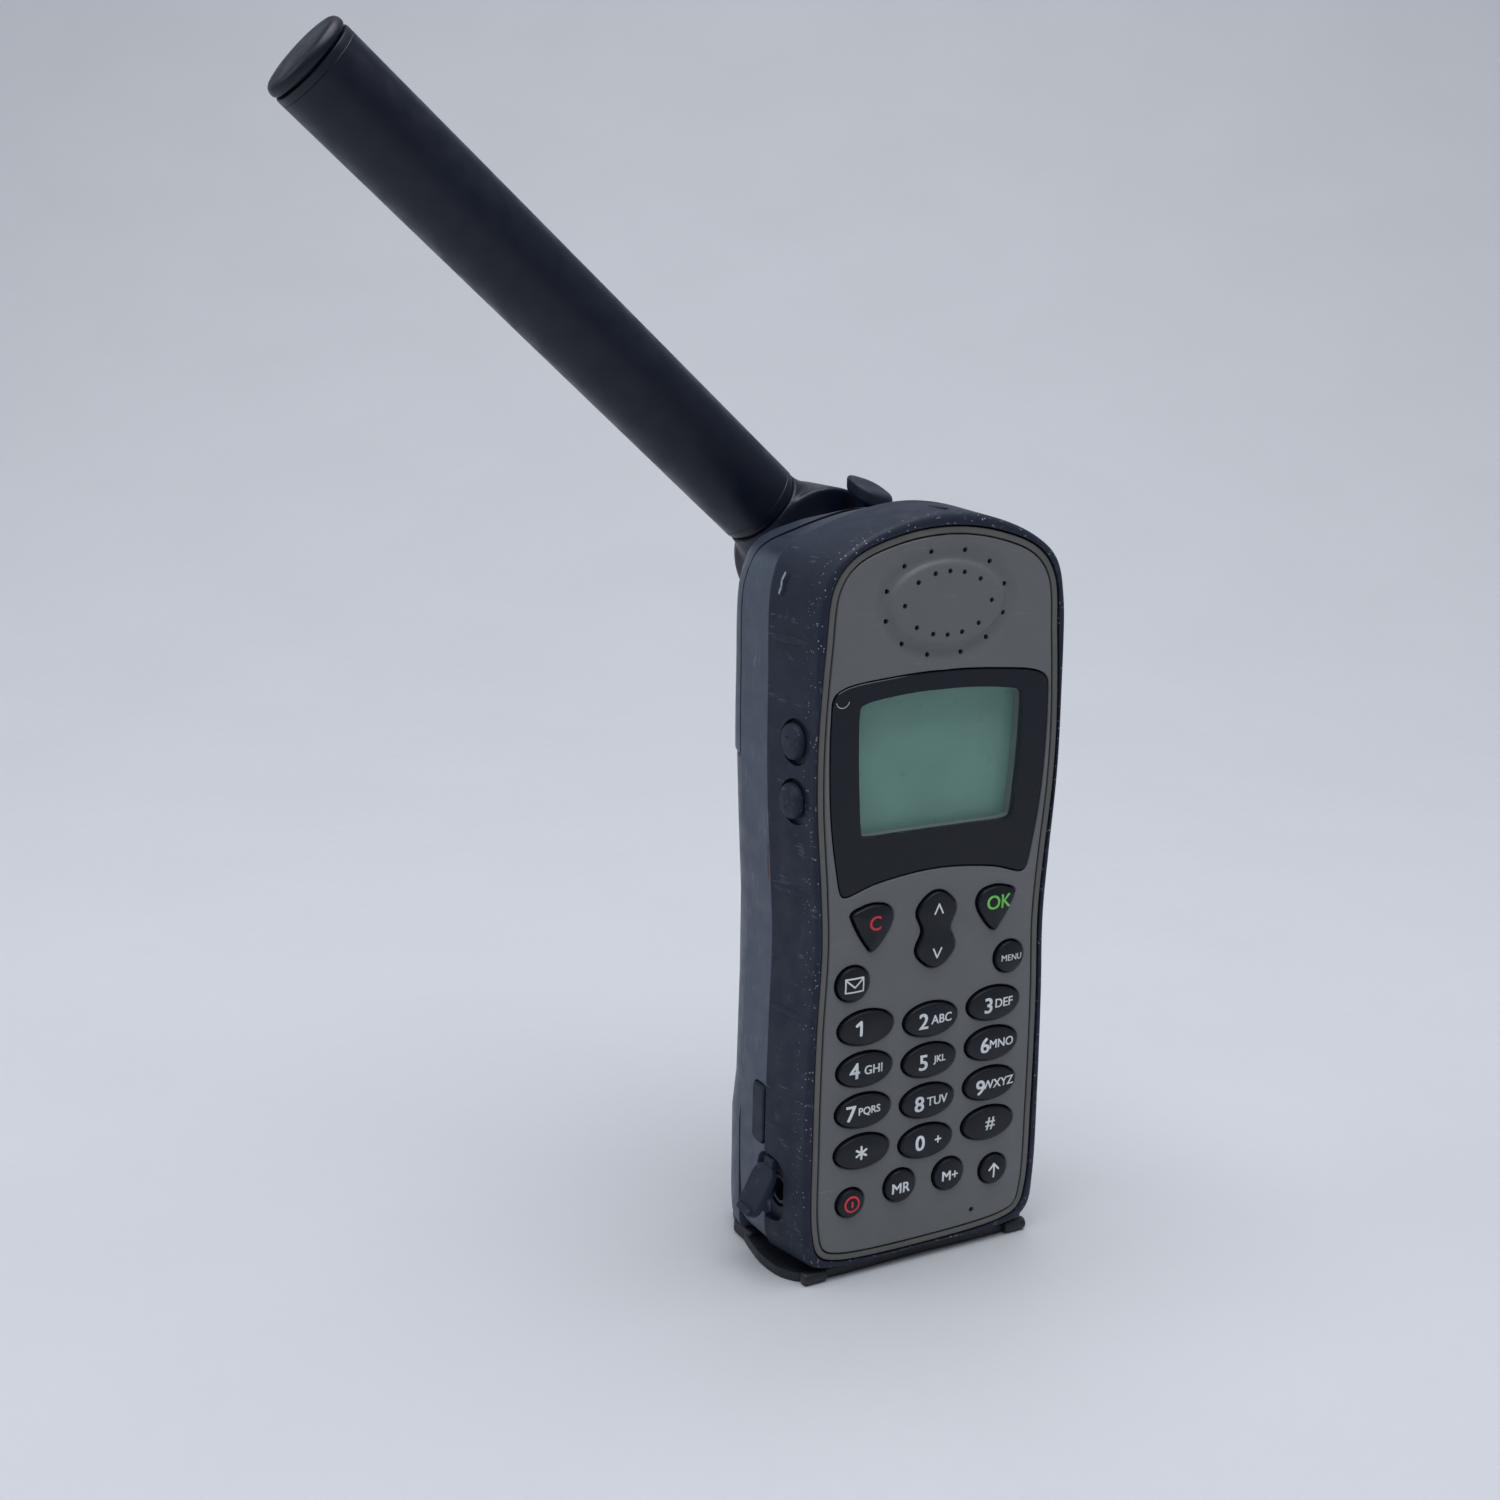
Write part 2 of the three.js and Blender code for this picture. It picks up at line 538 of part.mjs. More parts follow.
addPiece('face_plate', facePlate(), 'plate_grey');
addPiece('front_frame', frontFrame(), 'plate_grey');
addPiece('bezel_overmould', bezel(), 'rubber');
addPiece('rear_housing', rearHousing(), 'housing');
addPiece('upper_back', upperBack(), 'housing');
addPiece('battery_pack', batteryPack(), 'housing');
addPiece('base_shoe', baseShoe(), 'black_plastic');
addPiece('base_door', block([-DOOR.half, DOOR.half], DOOR.y, DOOR.z), 'rubber');
addPiece('display_window', prism(outline(LENS_HALF), 'front', 0, 1.4), 'lens');
addPiece('top_release_tab', releaseTab(), 'rubber');
addPiece('slot_plug', slotPlug(), 'rubber');
buildKeys();
buildJack();
buildAntenna();
buildInside();

export default phone;
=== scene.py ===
import json
import math

import bmesh
import bpy
import numpy as np
from mathutils import Matrix, Vector


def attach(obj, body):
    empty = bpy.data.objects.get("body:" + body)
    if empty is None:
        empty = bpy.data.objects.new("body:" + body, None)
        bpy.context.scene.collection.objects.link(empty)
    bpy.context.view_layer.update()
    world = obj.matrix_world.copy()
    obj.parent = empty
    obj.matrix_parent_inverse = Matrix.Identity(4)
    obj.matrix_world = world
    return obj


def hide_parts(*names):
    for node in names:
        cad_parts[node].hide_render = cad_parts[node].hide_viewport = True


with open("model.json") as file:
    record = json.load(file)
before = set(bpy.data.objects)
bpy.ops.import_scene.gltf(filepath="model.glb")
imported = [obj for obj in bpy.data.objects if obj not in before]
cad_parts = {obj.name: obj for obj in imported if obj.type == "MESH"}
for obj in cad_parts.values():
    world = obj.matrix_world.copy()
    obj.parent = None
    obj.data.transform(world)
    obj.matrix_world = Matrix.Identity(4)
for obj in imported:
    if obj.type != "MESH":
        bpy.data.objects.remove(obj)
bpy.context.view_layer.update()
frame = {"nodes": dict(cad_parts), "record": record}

# Shapes are drawn in millimetres in the design frame: x right, y the depth behind the face
# plate's front, z up. place() turns them into the row frame, in metres.
MM = 0.001
FOOT_CENTRE_Y = 20

PLATE_THICK = 1.5
RING_WIDTH = 1.6
GAP = 0.3
BEZEL_FRONT = -0.2
REAR_FLOOR = 22.8
BACK = (23.2, 39.0)
BACK_DEEP = 15.8
BACK_HALF_WIDTH = 31
RUBBER_EDGE = ((20, 12.7), (145, 15.8))
REAR_EDGE = ((10, 23.4), (140, 27.3), (150, 26.4), (157, 23.8))
BACK_SPLIT_Z = 105.8
SHELL_BACK = 12.7
LCD_DEPTH = 3.4

EAR_Z = 139
EAR_DISH = (16.6, 12.6)
EAR_LIP = (13.7, 8.4)
EAR_LIP_SHARE = 0.76
EAR_RIM = 1.03
EAR_HOLES = ((14.2, 10.4, (16, 46, 74)), (10.1, 6.2, (0, 44.5, 70.5, 90)))
MICROPHONE = (12.6, 8.4)
JACK = (10.2, 17.8)
JACK_HOLE_R = 3.6
JACK_POCKET = (6.3, 15.9, 11.4, 25.4)
SLOT = (15.8, 33, 4.6, 12.4)
SCREWS = ((-24.2, 30), (24.2, 30), (-24.2, 128), (24.2, 128))
VOLUME_Y = 6.8
VOLUME_R = 3.6
POCKET_Y = 5.9
POCKET_R = 4.6
POCKET_FLOOR = -28.9
VOLUME_Z = {"volume_up": 113, "volume_down": 101.2}
RIB_Z = (132.4, 82.7, 57.4, 32.2)
RIB_SIZE = (5.8, 0.8, 0.42)
TOP_RIB_SIZE = (3.2, 1.3, 0.25)
BATTERY_FOOT = 2.7
GROOVE_Z = (86, 100)
GROOVE_WIDTH = 2
GROOVE_DEPTH = 0.45
TAB = (2.9, 34)
TAB_Z = (154.9, 158.2)
TAB_RISE = 0.32
TAB_LEAN = 0.28

HINGE = (-2.7, 142.7)
HINGE_HOLE_R = 4
ANTENNA_Y = 49.2
ANTENNA_TILT = math.radians(-48.6)
TUBE_R = 9.1
TUBE_END = 141.8
SEAM = 15

BODY_HALF = (
    (0, 157.1), (9, 156.1), (20.6, 152.5), (27.6, 149.0), (30.4, 142.5), (31, 122), (31, 104),
    (30.2, 86), (29.6, 72), (30.2, 54), (30.8, 34), (30.8, 14), (29.8, 5.8), (26.5, 3.1), (0, 2.6),
)
REAR_HALF = (
    (0, 155.4), (9, 154.5), (20.3, 151.0), (27.3, 147.7), (30.2, 141.5), (31, 122), (31, 104),
    (30.2, 86), (29.6, 72), (30.2, 54), (30.8, 34), (30.8, 14), (29.8, 5.8), (26.5, 3.1), (0, 2.6),
)
FRONT_HALF = (
    (0, 156.4), (9, 155.4), (20, 151.4), (26, 146.6), (28.3, 139.5), (28.9, 122), (29.1, 104),
    (28.2, 86), (27.6, 72), (28.3, 54), (28.8, 34), (28.8, 14), (27.8, 6.2), (25, 3.6), (0, 2.9),
)
PLATE_HALF = (
    (0, 152.1), (11, 150.8), (20.4, 147.2), (24, 142.6), (25.4, 131), (26.5, 113), (26.3, 100),
    (25, 84), (24.4, 72), (25.1, 54), (25.3, 30), (24.9, 12), (23.6, 7.6), (20.5, 6.2), (0, 5.2),
)
LENS_HALF = (
    (0, 125.6), (12, 125.1), (22.6, 123.7), (24.8, 122.2), (25.3, 118), (25.3, 108), (24.7, 98),
    (23.3, 88.5), (21.9, 82.8), (21.0, 82.4), (14, 84.3), (0, 85.7),
)
WINDOW_HALF = (
    (0, 122.0), (8, 121.8), (17.6, 120.6), (18.9, 119.9), (19.2, 118.6), (19.1, 110), (18.6, 101),
    (18.1, 95.4), (17.8, 94.3), (16.8, 93.9), (8, 93.8), (0, 93.8),
)
BACK_PLAN = (
    (31, 0), (31, 0.6), (30.5, 3.4), (28.6, 8.2), (25.4, 12.4), (21, 15.0), (15, 15.8), (0, 15.8),
)
FOOT_PLAN = (
    (0, 1.9), (23.5, 1.9), (27.6, 3.0), (30.2, 6.8), (30.9, 13), (30, 20), (28.3, 27), (25.4, 35.5),
    (21.5, 38.8), (0, 39.2),
)
BATTERY_WIDTH = ((2.7, 30), (9, 30.5), (28, 30.4), (36, 29.4), (58, 28.8), (76, 28.7), (92, 29.5),
                 (105.8, 30))
CROWN = ((140, 1), (147.4, 1), (150.2, 0.91), (152, 0.715), (153.6, 0.367), (155.2, 0.04))
OUTLINE_STEPS = 14
CORNER_STEPS = 8
EDGE_STEPS = 3
PRINT_EDGE = 0.5
PRINT_LIFT = 0.03


# ---------------------------------------------------------------- outlines
def centripetal(points, steps):
    """A smooth closed curve through the points, with steps samples for each of them."""
    p = np.array(points, float)
    t = (np.arange(steps) / steps)[:, None]
    pieces = []
    for i in range(len(p)):
        a, b, c, d = (p[(i + k) % len(p)] for k in (-1, 0, 1, 2))
        ab, bc, cd = (max(np.linalg.norm(v) ** 0.5, 1e-4) for v in (b - a, c - b, d - c))
        into = ((b - a) / ab - (c - a) / (ab + bc) + (c - b) / bc) * bc
        out = ((c - b) / bc - (d - b) / (bc + cd) + (d - c) / cd) * bc
        pieces.append(b + into * t + (3 * (c - b) - 2 * into - out) * t**2
                      + (2 * (b - c) + into + out) * t**3)
    return np.vstack(pieces)


def grown(points, amount):
    """A closed outline moved along its normals, outwards for a positive amount."""
    along = np.roll(points, -1, 0) - np.roll(points, 1, 0)
    along /= np.linalg.norm(along, axis=1)[:, None]
    x, z = points[:, 0], points[:, 1]
    area = np.sum(x * np.roll(z, -1) - np.roll(x, -1) * z)
    side = math.copysign(1, area)
    return points + side * amount * np.stack([along[:, 1], -along[:, 0]], 1)


def outline(half, grow=0):
    """The smooth outline of a mirrored half, from its top round to the right."""
    left = [(-x, z) for x, z in half[1:-1]][::-1]
    return grown(centripetal(list(half) + left, OUTLINE_STEPS), grow)


def ellipse(cx, cz, rx, rz, sides=72):
    angle = 2 * np.pi * np.arange(sides) / sides
    return np.stack([cx + rx * np.cos(angle), cz + rz * np.sin(angle)], 1)


def rounded_box(cx, cz, width, height, radius):
    points = []
    for i, (sx, sz) in enumerate(((1, 1), (-1, 1), (-1, -1), (1, -1))):
        for k in range(CORNER_STEPS + 1):
            angle = math.pi / 2 * (i + k / CORNER_STEPS)
            points.append((cx + sx * (width / 2 - radius) + radius * math.cos(angle),
                           cz + sz * (height / 2 - radius) + radius * math.sin(angle)))
    return np.array(points)


def scaled(points, share):
    centre = points.mean(0)
    return centre + share * (points - centre)


# ---------------------------------------------------------------- meshes
def ring(points, depth, view="front"):
    """An outline as 3-D points: front outlines lie at a depth, up outlines at a height, and side
    outlines, of depth and height, at a place along x."""
    a, b = points[:, 0], points[:, 1]
    c = np.broadcast_to(np.asarray(depth, float), a.shape)
    order = {"front": (a, c, b), "up": (a, b, c), "side": (c, a, b)}[view]
    return np.stack(order, 1)


def loft(rings, closed=False):
    """A skin over the rings, closed round to the first ring or capped at both ends."""
    n, m = len(rings[0]), len(rings)
    corners = np.arange(m * n).reshape(m, n)
    faces = []
    for i in range(m if closed else m - 1):
        a, b = corners[i], corners[(i + 1) % m]
        faces += [[int(v) for v in q] for q in zip(a, np.roll(a, -1), np.roll(b, -1), b)]
    if not closed:
        faces += [corners[0].tolist()[::-1], corners[-1].tolist()]
    return np.vstack(rings), faces


def merged(*shells):
    """Several (points, faces) as one."""
    points, faces, start = [], [], 0
    for p, f in shells:
        points.append(p)
        faces += [[v + start for v in face] for face in f]
        start += len(p)
    return np.vstack(points), faces


def prism(points, low, high, view="front"):
    return loft([ring(points, low, view), ring(points, high, view)])


def pad(points, low, high, view="front", edge=0.4, low_edge=0.0):
    """A prism whose high end, and low end if asked, is rounded over by edge."""
    sign = math.copysign(1, high - low)
    angles = np.linspace(0, math.pi / 2, EDGE_STEPS + 1)
    rings = []
    if low_edge:
        rings += [ring(grown(points, -low_edge * (1 - math.sin(a))),
                       low + sign * low_edge * (1 - math.cos(a)), view)
                  for a in angles]
    else:
        rings.append(ring(points, low, view))
    rings += [ring(grown(points, -edge * (1 - math.cos(a))),
                   high - sign * edge * (1 - math.sin(a)), view)
              for a in angles]
    return loft(rings)


def turned(profile, sides=96, ry=None):
    """A profile of (radius, height) turned about z, with its y radius limited to ry."""
    angle = 2 * np.pi * np.arange(sides) / sides
    rings = []
    for r, h in profile:
        deep = min(r, ry) if ry else r
        rings.append(np.stack([r * np.cos(angle), deep * np.sin(angle), np.full(sides, float(h))], 1))
    return rings


def turn_y(points, angle):
    """Turns points about the y axis, from +z towards +x."""
    c, s = math.cos(angle), math.sin(angle)
    x, y, z = points.T
    return np.stack([c * x + s * z, y, c * z - s * x], 1)


def place(points):
    return (points - (0, FOOT_CENTRE_Y, 0)) * MM


def build(name, shell, look):
    points, faces = shell
    mesh = bpy.data.meshes.new(name)
    mesh.from_pydata(place(points).tolist(), [], faces)
    bm = bmesh.new()
    bm.from_mesh(mesh)
    bmesh.ops.recalc_face_normals(bm, faces=bm.faces)
    bm.to_mesh(mesh)
    bm.free()
    obj = bpy.data.objects.new(name, mesh)
    bpy.context.scene.collection.objects.link(obj)
    mesh.materials.append(look)
    return obj


def bake(obj):
    """Applies every modifier on obj."""
    graph = bpy.context.evaluated_depsgraph_get()
    obj.data = bpy.data.meshes.new_from_object(obj.evaluated_get(graph))
    obj.modifiers.clear()


def cut(obj, *shells):
    """Cuts each (points, faces) out of obj."""
    for shell in shells:
        tool = build("cutter", shell, obj.data.materials[0])
        modifier = obj.modifiers.new("cut", "BOOLEAN")
        modifier.operation = "DIFFERENCE"
        modifier.solver = "EXACT"
        modifier.object = tool
        bake(obj)
        bpy.data.objects.remove(tool)


def absorb(obj, extra):
    """Moves the mesh of extra, with its one material, into obj."""
    look = extra.data.materials[0]
    own = [m.name for m in obj.data.materials]
    if look.name not in own:
        obj.data.materials.append(look)
        own.append(look.name)
    slot_index = own.index(look.name)
    bm = bmesh.new()
    bm.from_mesh(obj.data)
    before = len(bm.faces)
    bm.from_mesh(extra.data)
    bm.faces.ensure_lookup_table()
    for face in bm.faces[before:]:
        face.material_index = slot_index
    bm.to_mesh(obj.data)
    bm.free()
    bpy.data.objects.remove(extra)


def add_shell(obj, shell, look):
    """Adds a shell with its own material to obj."""
    absorb(obj, build("extra", shell, look))


def piece(obj, body, slot, *nodes, angle=35):
    """Smooths obj up to an angle, gives it its body and hides its CAD nodes; slot is not used."""
    obj.data.shade_smooth()
    obj.data.set_sharp_from_angle(angle=math.radians(angle))
    weighted = obj.modifiers.new("weighted", "WEIGHTED_NORMAL")
    weighted.keep_sharp = True
    bake(obj)
    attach(obj, body)
    if nodes:
        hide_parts(*nodes)


# ---------------------------------------------------------------- finishes
def srgb(r, g, b):
    """A display colour, 0 to 255, as a linear colour."""
    values = [v / 255 for v in (r, g, b)]
    return [v / 12.92 if v <= 0.04045 else ((v + 0.055) / 1.055) ** 2.4 for v in values] + [1]


def dimmed(colour, share):
    return [v * share for v in colour[:3]] + [1]


class Look:
    """A procedural finish on one Principled shader, with noise measured in metres."""

    def __init__(self, name, colour, spread=0.12, scale=70):
        self.material = bpy.data.materials.new(name)
        self.material.use_nodes = True
        self.tree = self.material.node_tree
        self.shader = self.tree.nodes["Principled BSDF"]
        self.where = self.tree.nodes.new("ShaderNodeTexCoord").outputs["Object"]
        tones = [(0.32, dimmed(colour, 1 - spread)), (0.68, dimmed(colour, 1 + spread))]
        self.colour = self.ramp(self.noise(scale, 5), tones)

    def node(self, kind, inputs, **settings):
        made = self.tree.nodes.new(kind)
        for key, value in settings.items():
            setattr(made, key, value)
        for key, value in inputs.items():
            if isinstance(value, bpy.types.NodeSocket):
                self.tree.links.new(value, made.inputs[key])
            else:
                made.inputs[key].default_value = value
        return made

    def stretched(self, stretch, turn=(0, 0, 0)):
        inputs = {"Vector": self.where, "Scale": stretch, "Rotation": turn}
        return self.node("ShaderNodeMapping", inputs).outputs["Vector"]

    def noise(self, scale, detail=3, vector=None):
        inputs = {"Vector": vector or self.where, "Scale": scale, "Detail": detail}
        return self.node("ShaderNodeTexNoise", inputs).outputs["Fac"]

    def cells(self, scale):
        inputs = {"Vector": self.where, "Scale": scale}
        return self.node("ShaderNodeTexVoronoi", inputs).outputs["Distance"]

    def ramp(self, fac, stops):
        made = self.node("ShaderNodeValToRGB", {"Fac": fac})
        for element, (at, colour) in zip(made.color_ramp.elements, stops):
            element.position = at
            element.color = colour
        return made.outputs["Color"]

    def between(self, value, low, high, out_low=0.0, out_high=1.0):
        inputs = {"Value": value, "From Min": low, "From Max": high, "To Min": out_low,
                  "To Max": out_high}
        return self.node("ShaderNodeMapRange", inputs, interpolation_type="SMOOTHSTEP").outputs["Result"]

    def axis(self, name, low, high):
        """0 at the low end of an axis of the row frame and 1 at the high end."""
        split = self.node("ShaderNodeSeparateXYZ", {"Vector": self.where})
        return self.between(split.outputs[name], low, high)

    def times(self, *values):
        result = values[0]
        for value in values[1:]:
            result = self.node("ShaderNodeMath", {0: result, 1: value}, operation="MULTIPLY").outputs[0]
        return result

    # Mixes a colour in through a mask: worn and marked spots, and on the housing a band of painted shade.
    def wear_and_shade(self, mask, colour):
        inputs = {"Fac": mask, "Color1": self.colour, "Color2": colour}
        self.colour = self.node("ShaderNodeMixRGB", inputs).outputs["Color"]

    def specks(self, scale, size, amount):
        """Scattered dots, where a slow noise lets them be."""
        dots = self.between(self.cells(scale), size, size * 0.6)
        return self.times(dots, self.between(self.noise(scale * 0.25, 2), 1 - amount, 1.02 - amount))

    def scratches(self, stretch, turn, threshold):
        lines = self.noise(1, 2, self.stretched(stretch, turn))
        gate = self.between(self.noise(160, 2), 0.5, 0.62)
        return self.times(self.between(lines, threshold, threshold + 0.03), gate)

    def done(self, rough, grain, height, rough_spread=0.08, **constants):
        low, high = rough - rough_spread, rough + rough_spread
        self.tree.links.new(self.colour, self.shader.inputs["Base Color"])
        self.tree.links.new(self.between(self.noise(240, 4), 0.3, 0.7, low, high),
                            self.shader.inputs["Roughness"])
        bump = self.node("ShaderNodeBump", {"Height": self.noise(grain, 3), "Distance": height * MM,
                                            "Strength": 0.6})
        self.tree.links.new(bump.outputs["Normal"], self.shader.inputs["Normal"])
        for key, value in constants.items():
            self.shader.inputs[key.replace("_", " ")].default_value = value
        return self.material


def plate_look():
    look = Look("plate_grey", srgb(110, 112, 115), 0.05, 40)
    look.wear_and_shade(look.times(look.between(look.noise(90, 4), 0.56, 0.75), 0.25), srgb(98, 98, 97))
    look.wear_and_shade(look.times(look.scratches((60, 900, 3200), (0, 0.5, 0), 0.66), 0.35), srgb(150, 154, 158))
    look.wear_and_shade(look.specks(1300, 0.09, 0.42), srgb(70, 70, 70))
    return look.done(0.5, 5200, 0.05, Specular_IOR_Level=0.4)


def ring_look():
    look = Look("ring_grey", srgb(98, 98, 97), 0.1, 120)
    look.wear_and_shade(look.times(look.scratches((400, 400, 1600), (0, 0, 0), 0.6), 0.5), srgb(112, 112, 108))
    return look.done(0.45, 4000, 0.04)


def rubber_look():
    look = Look("rubber", srgb(31, 40, 56), 0.1, 50)
    front = look.axis("Y", -0.0145, -0.0195)
    look.wear_and_shade(look.times(look.specks(1100, 0.2, 0.56), front), srgb(150, 155, 160))
    look.wear_and_shade(look.times(look.scratches((700, 120, 1100), (0.3, 0, 0.2), 0.63), 0.4), srgb(92, 100, 110))
    look.wear_and_shade(look.times(look.between(look.noise(420, 4), 0.62, 0.74), 0.3), srgb(74, 82, 92))
    return look.done(0.6, 3600, 0.07, Specular_IOR_Level=0.3)


def housing_look():
    look = Look("housing", srgb(70, 80, 97), 0.06, 60)
    look.wear_and_shade(look.times(look.scratches((1500, 1500, 260), (0.2, 0, 0), 0.6), 0.3), srgb(118, 126, 136))
    look.wear_and_shade(look.times(look.between(look.noise(140, 5), 0.58, 0.72), 0.3), srgb(70, 76, 88))
    # Painted shade: from about 146 mm up, the housing's top is darkened to (36, 45, 62), shade painted
    # where it slopes back away from the light.
    look.wear_and_shade(look.axis("Z", 0.1455, 0.1485), srgb(36, 45, 62))
    return look.done(0.5, 4200, 0.05)


def clear_look():
    """The clear window: mostly see-through, with a hard gloss."""
    look = Look("lens_clear", srgb(150, 170, 165), 0.04)
    look.shader.inputs["Alpha"].default_value = 0.05
    return look.done(0.06, 900, 0.001, rough_spread=0.02, Coat_Weight=0.5, Coat_Roughness=0.04)


LOOKS = {
    "plate_grey": plate_look(),
    "ring_grey": ring_look(),
    "rubber": rubber_look(),
    "housing": housing_look(),
    "lens_clear": clear_look(),
}


def add_look(name, colour, rough, grain=3800, height=0.04, **constants):
    """A finish of one colour, for the pieces without wear of their own."""
    LOOKS[name] = Look(name, srgb(*colour), 0.1).done(rough, grain, height, **constants)


add_look("antenna_black", (13, 21, 38), 0.42, 5200, 0.02, Specular_IOR_Level=0.35)
add_look("key_black", (14, 19, 30), 0.46, 5200, 0.03, Specular_IOR_Level=0.35)
add_look("lens", (10, 17, 30), 0.1, 900, 0.002, rough_spread=0.04, Specular_IOR_Level=0.3)
add_look("lcd_green", (110, 157, 145), 0.35, 900, 0.01)
add_look("lcd_wall", (112, 120, 130), 0.5)
add_look("black_plastic", (26, 31, 40), 0.5)
add_look("board_green", (40, 92, 62), 0.5, 2200, 0.06)
add_look("steel", (176, 178, 182), 0.32, 3000, 0.02, Metallic=1.0)
add_look("gold", (206, 166, 84), 0.3, 3000, 0.02, Metallic=1.0)
add_look("white_plastic", (200, 204, 208), 0.5)
add_look("chip_pale", (150, 160, 172), 0.6, 2600, 0.08)
add_look("scuff_brown", (92, 66, 48), 0.7, 2600, 0.08)
add_look("print_white", (236, 240, 245), 0.5, 6000, 0.02)
add_look("print_red", (232, 50, 70), 0.5, 6000, 0.02)
add_look("print_green", (120, 220, 90), 0.5, 6000, 0.02)


# ---------------------------------------------------------------- keys
def shield(hand):
    """C and OK keys: a blade with two sharp corners, on the left (-1) or the right (1)."""
    arc = [(20.3, 78.4), (17.4, 79.9), (14.2, 80.3), (10.9, 79.4), (9.7, 77.2), (11.2, 73.6),
           (15.2, 69.9)]
    smooth = centripetal(arc, 10)[:-10]
    edge = np.linspace(arc[-1], arc[0], 14)[:-1]
    bow = 0.35 * np.sin(np.linspace(0, math.pi, 14))[:-1, None] * (0.85, -0.53)
    points = np.vstack([smooth, edge + bow])
    return points * (hand, 1)


def rocker():
    """The up and down key: a tall pill with a slight waist."""
    angle = 2 * np.pi * np.arange(96) / 96
    z = 8.2 * np.sin(angle)
    width = 4.1 + 0.75 * np.cos(np.pi * (np.abs(z) - 4.3) / 4.3)
    end = np.sqrt(np.clip(1 - np.abs(np.sin(angle)) ** 5, 0, 1))
    return np.stack([np.sign(np.cos(angle)) * width * end, 72.8 + z], 1)


def key_layout():
    """Each key's outline."""
    keys = {}
    for i, name in enumerate(("1", "2", "3", "4", "5", "6", "7", "8", "9", "star", "0", "hash")):
        column = i % 3 - 1
        z = 54.5 - 8.9 * (i // 3) - (0.9 if column == 0 else 0)
        keys[name] = ellipse(15.5 * column, z, 6.35, 3.45)
    small = {"mail": (-19, 64.2, 3.7), "menu": (18.8, 64.2, 3.45), "power": (-17.9, 16.9, 3.1),
             "mr": (-6, 18.2, 3.6), "mplus": (6, 18.2, 3.6), "up": (17.5, 16.9, 3.3)}
    for name, (x, z, radius) in small.items():
        keys[name] = ellipse(x, z, radius, 0.94 * radius)
    keys["c"] = scaled(shield(-1), 0.9)
    keys["ok"] = scaled(shield(1), 0.87)
    keys["nav"] = scaled(rocker(), 0.96) + (0.4, 0)
    return keys


KEYS = key_layout()
KEY_BACK = 3.3
KEY_SHOULDER = -0.35
KEY_ROUND = 0.45
KEY_RIM = -0.78
KEY_DOME = 0.34
NAV_SCOOP = 0.3
SCOOP_SPREAD = 3.2


def hollow(points, top, scoop):
    """How much a key's hollow lowers its dome at each point."""
    return scoop * np.exp(-((points[:, 1] - top[:, 1].mean()) / SCOOP_SPREAD) ** 2)


def key_shell(points, scoop=0.0):
    """A key with a rounded rim and a softly domed top, hollowed along its middle by scoop."""
    rings = [ring(points, KEY_BACK), ring(points, KEY_SHOULDER)]
    for a in np.radians((25, 50, 70, 90)):
        depth = KEY_SHOULDER + (KEY_RIM - KEY_SHOULDER) * math.sin(a)
        rings.append(ring(grown(points, -KEY_ROUND * (1 - math.cos(a))), depth))
    top = grown(points, -KEY_ROUND)
    for share in (0.9, 0.78, 0.62, 0.45, 0.28, 0.12):
        inner = scaled(top, share)
        dome = (KEY_DOME - hollow(inner, top, scoop)) * (1 - share**2)
        rings.append(ring(inner, KEY_RIM - dome))
    return loft(rings)


def strokes(lines, width):
    """Flat strokes along the lines, with round ends, as (x, z) points and faces."""
    points, faces = [], []
    for line in lines:
        for a, b in zip(line[:-1], line[1:]):
            a, b = np.array(a, float), np.array(b, float)
            u = (b - a) / np.linalg.norm(b - a)
            start = math.atan2(u[0], -u[1])
            corners = [a + width / 2 * np.array((math.cos(t), math.sin(t)))
                       for t in start + np.linspace(0, math.pi, 6)]
            corners += [b + width / 2 * np.array((math.cos(t), math.sin(t)))
                        for t in start + math.pi + np.linspace(0, math.pi, 6)]
            faces.append(list(range(len(points), len(points) + len(corners))))
            points += corners
    return np.array(points), faces


def lettering(text, height, bold):
    """Flat lettering centred on the origin, as (x, z) points and faces, made bolder by bold."""
    curve = bpy.data.curves.new("lettering", "FONT")
    curve.body = text
    curve.resolution_u = 4
    obj = bpy.data.objects.new("lettering", curve)
    bpy.context.scene.collection.objects.link(obj)
    bpy.context.view_layer.update()
    mesh = bpy.data.meshes.new_from_object(obj.evaluated_get(bpy.context.evaluated_depsgraph_get()))
    points = np.array([v.co[:2] for v in mesh.vertices])
    faces = [list(p.vertices) for p in mesh.polygons]
    bpy.data.objects.remove(obj)
    low, high = points.min(0), points.max(0)
    points = (points - (low + high) / 2) * height / (high[1] - low[1])
    shifts = [(bold * x, bold * z) for x in (-1, 0, 1) for z in (-0.6, 0.6)]
    return merged(*[(points + shift, faces) for shift in shifts])


def refined(shell):
    """A flat (x, z) shell as triangles, with its edges over PRINT_EDGE halved up to four times."""
    bm = bmesh.new()
    made = [bm.verts.new((x, 0, z)) for x, z in shell[0]]
    for face in shell[1]:
        bm.faces.new([made[i] for i in face])
    for _ in range(4):
        bmesh.ops.triangulate(bm, faces=bm.faces)
        edges = [e for e in bm.edges if e.calc_length() > PRINT_EDGE]
        bmesh.ops.subdivide_edges(bm, edges=edges, cuts=1)
    bm.verts.index_update()
    points = np.array([(v.co.x, v.co.z) for v in bm.verts])
    faces = [[v.index for v in face.verts] for face in bm.faces]
    bm.free()
    return points, faces


def share_out(points, shape):
    """How far out the points lie in a shape, from 0 at its middle to 1 at its edge."""
    middle = shape.mean(0)
    rim, away = shape - middle, points - middle
    angle = np.arctan2(rim[:, 1], rim[:, 0])
    reach = np.interp(np.arctan2(away[:, 1], away[:, 0]), angle, np.hypot(*rim.T), period=2 * math.pi)
    return np.clip(np.hypot(*away.T) / reach, 0, 1)


